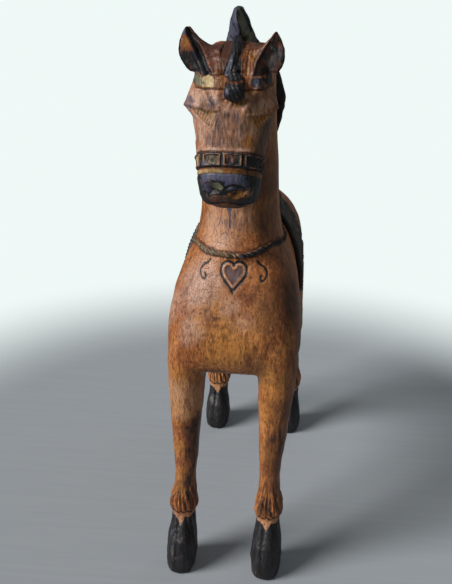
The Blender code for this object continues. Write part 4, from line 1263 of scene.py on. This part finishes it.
def make_saddle():
    """Saddle and cloth, carved all over and speckled with old paint."""
    skin = Skin(clay_of(("saddle",), step=0.0019).soften(0.0019))
    side = step_up(np.abs(skin.x), 0.055, 0.075)
    slant = (skin.y + 0.0928) - (skin.z - 0.49) * (0.092 / 0.19)
    edge = np.minimum(skin.z - 0.47, 0.9 * slant)
    cord = bump(edge - 0.0055, 0.0048)
    twist = np.cos(2 * math.pi * (skin.y + skin.z) / 0.0085)
    skin.push(side * cord * (0.0016 + 0.0007 * twist))
    leaf = np.column_stack([skin.x, 0.8 * skin.y + 0.6 * skin.z, 0.8 * skin.z - 0.6 * skin.y])
    scale = scoops(leaf, (0.017, 0.0125, 0.024), 70)
    field = step_up(edge, 0.011, 0.013) * step_down(skin.z, 0.625, 0.65)
    skin.push(field * (0.0014 - 0.0038 * np.clip(scale, 0, 0.8)))
    veins = np.cos(2 * math.pi * leaf[:, 1] / 0.0042)
    skin.push(0.0003 * field * veins)
    skin.push(0.0005 * skin.noise(0.005, 71) + 0.0009 * skin.noise(0.024, 76))
    skin.paint(black=0.56 + 0.4 * skin.noise(0.014, 72), brown=0.55 + 0.45 * skin.noise(0.011, 73))
    fleck = skin.noise((0.0035, 0.0035, 0.005), 74)
    worn_leaf = step_down(scale, 0.08, 0.3) * field
    skin.paint(gilt=0.5 * worn_leaf * step_up(fleck, 0.1, 0.55))
    strokes = worn_leaf * step_up(veins, -0.2, 0.6) * step_down(fleck, -0.2, 0.6)
    skin.paint(grey=0.5 * strokes, green=0.62 * strokes, black=step_up(scale, 0.35, 0.55) * field)
    skin.paint(gilt=0.35 * side * cord * step_up(twist, 0.0, 0.8))
    show(skin, "carved_saddle", ("saddle",), EBONISED)


def make_tail():
    """Wavy strands of hair from the dock to the tip."""
    skin = Skin(clay_of(("tail",), step=0.0016).soften(0.0018))
    centre = 0.334 + 0.012 * step_down(skin.z, 0.26, 0.38)
    angle = np.arctan2(skin.x, skin.y - centre)
    hang = step_down(skin.z, 0.5, 0.535)
    flow = 3.5 * angle + 1.6 * np.sin(30 * skin.z)
    ribs = comb(skin, hang, flow, 0.0036, 0.0028)
    skin.paint(black=np.ones(len(skin.points)))
    # Painted highlight: grey on the crests of the strands.
    skin.paint(grey=0.35 * hang * step_up(ribs, 0.75, 1.0) * step_up(skin.noise(0.02, 81), -0.2, 0.5))
    show(skin, "carved_tail", ("tail",), EBONISED)


make_crown()
make_forelock()
make_mane()
make_saddle()
make_tail()


def finish_dowels():
    """The hidden dowels keep their CAD shape, in bare beech."""
    t = Tree("bare beech")
    rays = t.noise((0.001, 0.001, 0.006), detail=3.0)
    t.feed(t.shader.inputs["Base Color"], t.mix(rays, (0.46, 0.3, 0.17), (0.62, 0.44, 0.27)))
    t.shader.inputs["Roughness"].default_value = 0.65
    t.relief(rays, 0.0003, 0.6)
    for name, piece in frame["nodes"].items():
        if "dowel" in name:
            piece.data.materials.clear()
            piece.data.materials.append(t.material)


finish_dowels()


# Camera, light and floor

def aim(thing, direction, roll=0.0):
    """Turns a camera or a light to look along a direction."""
    turn = Vector(direction).to_track_quat("-Z", "Y").to_matrix().to_4x4()
    thing.matrix_world = Matrix.Translation(thing.location) @ turn @ Matrix.Rotation(roll, 4, "Z")


def add_camera():
    """A view from above the head and a little to one side, with the head nearest."""
    data = bpy.data.cameras.new("camera")
    data.sensor_width = 36.0
    data.lens = 66.2
    camera = add_object("camera", data)
    camera.location = (0.1723, -1.8808, 1.256)
    aim(camera, (-0.1022, 0.9113, -0.3987), math.radians(0.5))
    bpy.context.scene.camera = camera


def add_light(name, location, size, power, colour):
    """A square soft light that faces the middle of the statue and leaves no reflection."""
    data = bpy.data.lights.new(name, "AREA")
    data.size = size
    data.energy = power
    data.color = colour
    light = add_object(name, data)
    light.location = location
    light.visible_glossy = False
    aim(light, Vector((0, 0, 0.5)) - Vector(location))


def add_sun(direction, spread, power, colour):
    """Soft daylight along a direction, spread over that many degrees."""
    data = bpy.data.lights.new("daylight", "SUN")
    data.angle = math.radians(spread)
    data.energy = power
    data.color = colour
    aim(add_object("daylight", data), direction)


def floor_material():
    """A pale painted floor that fades into the backdrop."""
    t = Tree("painted floor")
    far = t.node("ShaderNodeVectorMath", operation="LENGTH")
    t.feed(far.inputs[0], t.place)
    brushed = t.noise((0.3, 0.012, 0.3), detail=4.0)
    t.feed(t.shader.inputs["Base Color"], t.mix(brushed, (0.275, 0.302, 0.335), (0.325, 0.352, 0.385)))
    t.shader.inputs["Roughness"].default_value = 0.6
    t.feed(t.shader.inputs["Alpha"], t.spread(far.outputs["Value"], 0.65, 1.15, 1.0, 0.0))
    t.relief(brushed, 0.0006, 0.5)
    return t.material


def add_floor():
    far = 12.0
    mesh = bpy.data.meshes.new("floor")
    mesh.from_pydata([(-far, -far, 0), (far, -far, 0), (far, far, 0), (-far, far, 0)], [], [(0, 1, 2, 3)])
    mesh.materials.append(floor_material())
    floor = add_object("floor", mesh)


def add_world():
    """A near-white backdrop that lights the statue less than it shows."""
    world = bpy.data.worlds.new("studio")
    world.use_nodes = True
    tree = world.node_tree
    backdrop = tree.nodes["Background"]
    backdrop.inputs["Color"].default_value = (0.86, 0.94, 0.92, 1.0)
    strength = tree.nodes.new("ShaderNodeMapRange")
    strength.inputs["To Min"].default_value = 0.16
    strength.inputs["To Max"].default_value = 1.0
    tree.links.new(tree.nodes.new("ShaderNodeLightPath").outputs["Is Camera Ray"], strength.inputs["Value"])
    tree.links.new(strength.outputs["Result"], backdrop.inputs["Strength"])
    bpy.context.scene.world = world


add_camera()
add_sun((0.71, 0.42, -0.565), spread=30.0, power=4.1, colour=(1.0, 0.975, 0.94))
add_light("fill", (1.6, -2.4, 1.4), size=1.6, power=3.0, colour=(0.88, 0.94, 1.0))
add_light("back", (1.3, 2.1, 1.2), size=1.8, power=11.0, colour=(0.95, 0.97, 1.0))
add_floor()
add_world()
bpy.context.scene.view_settings.view_transform = "Standard"
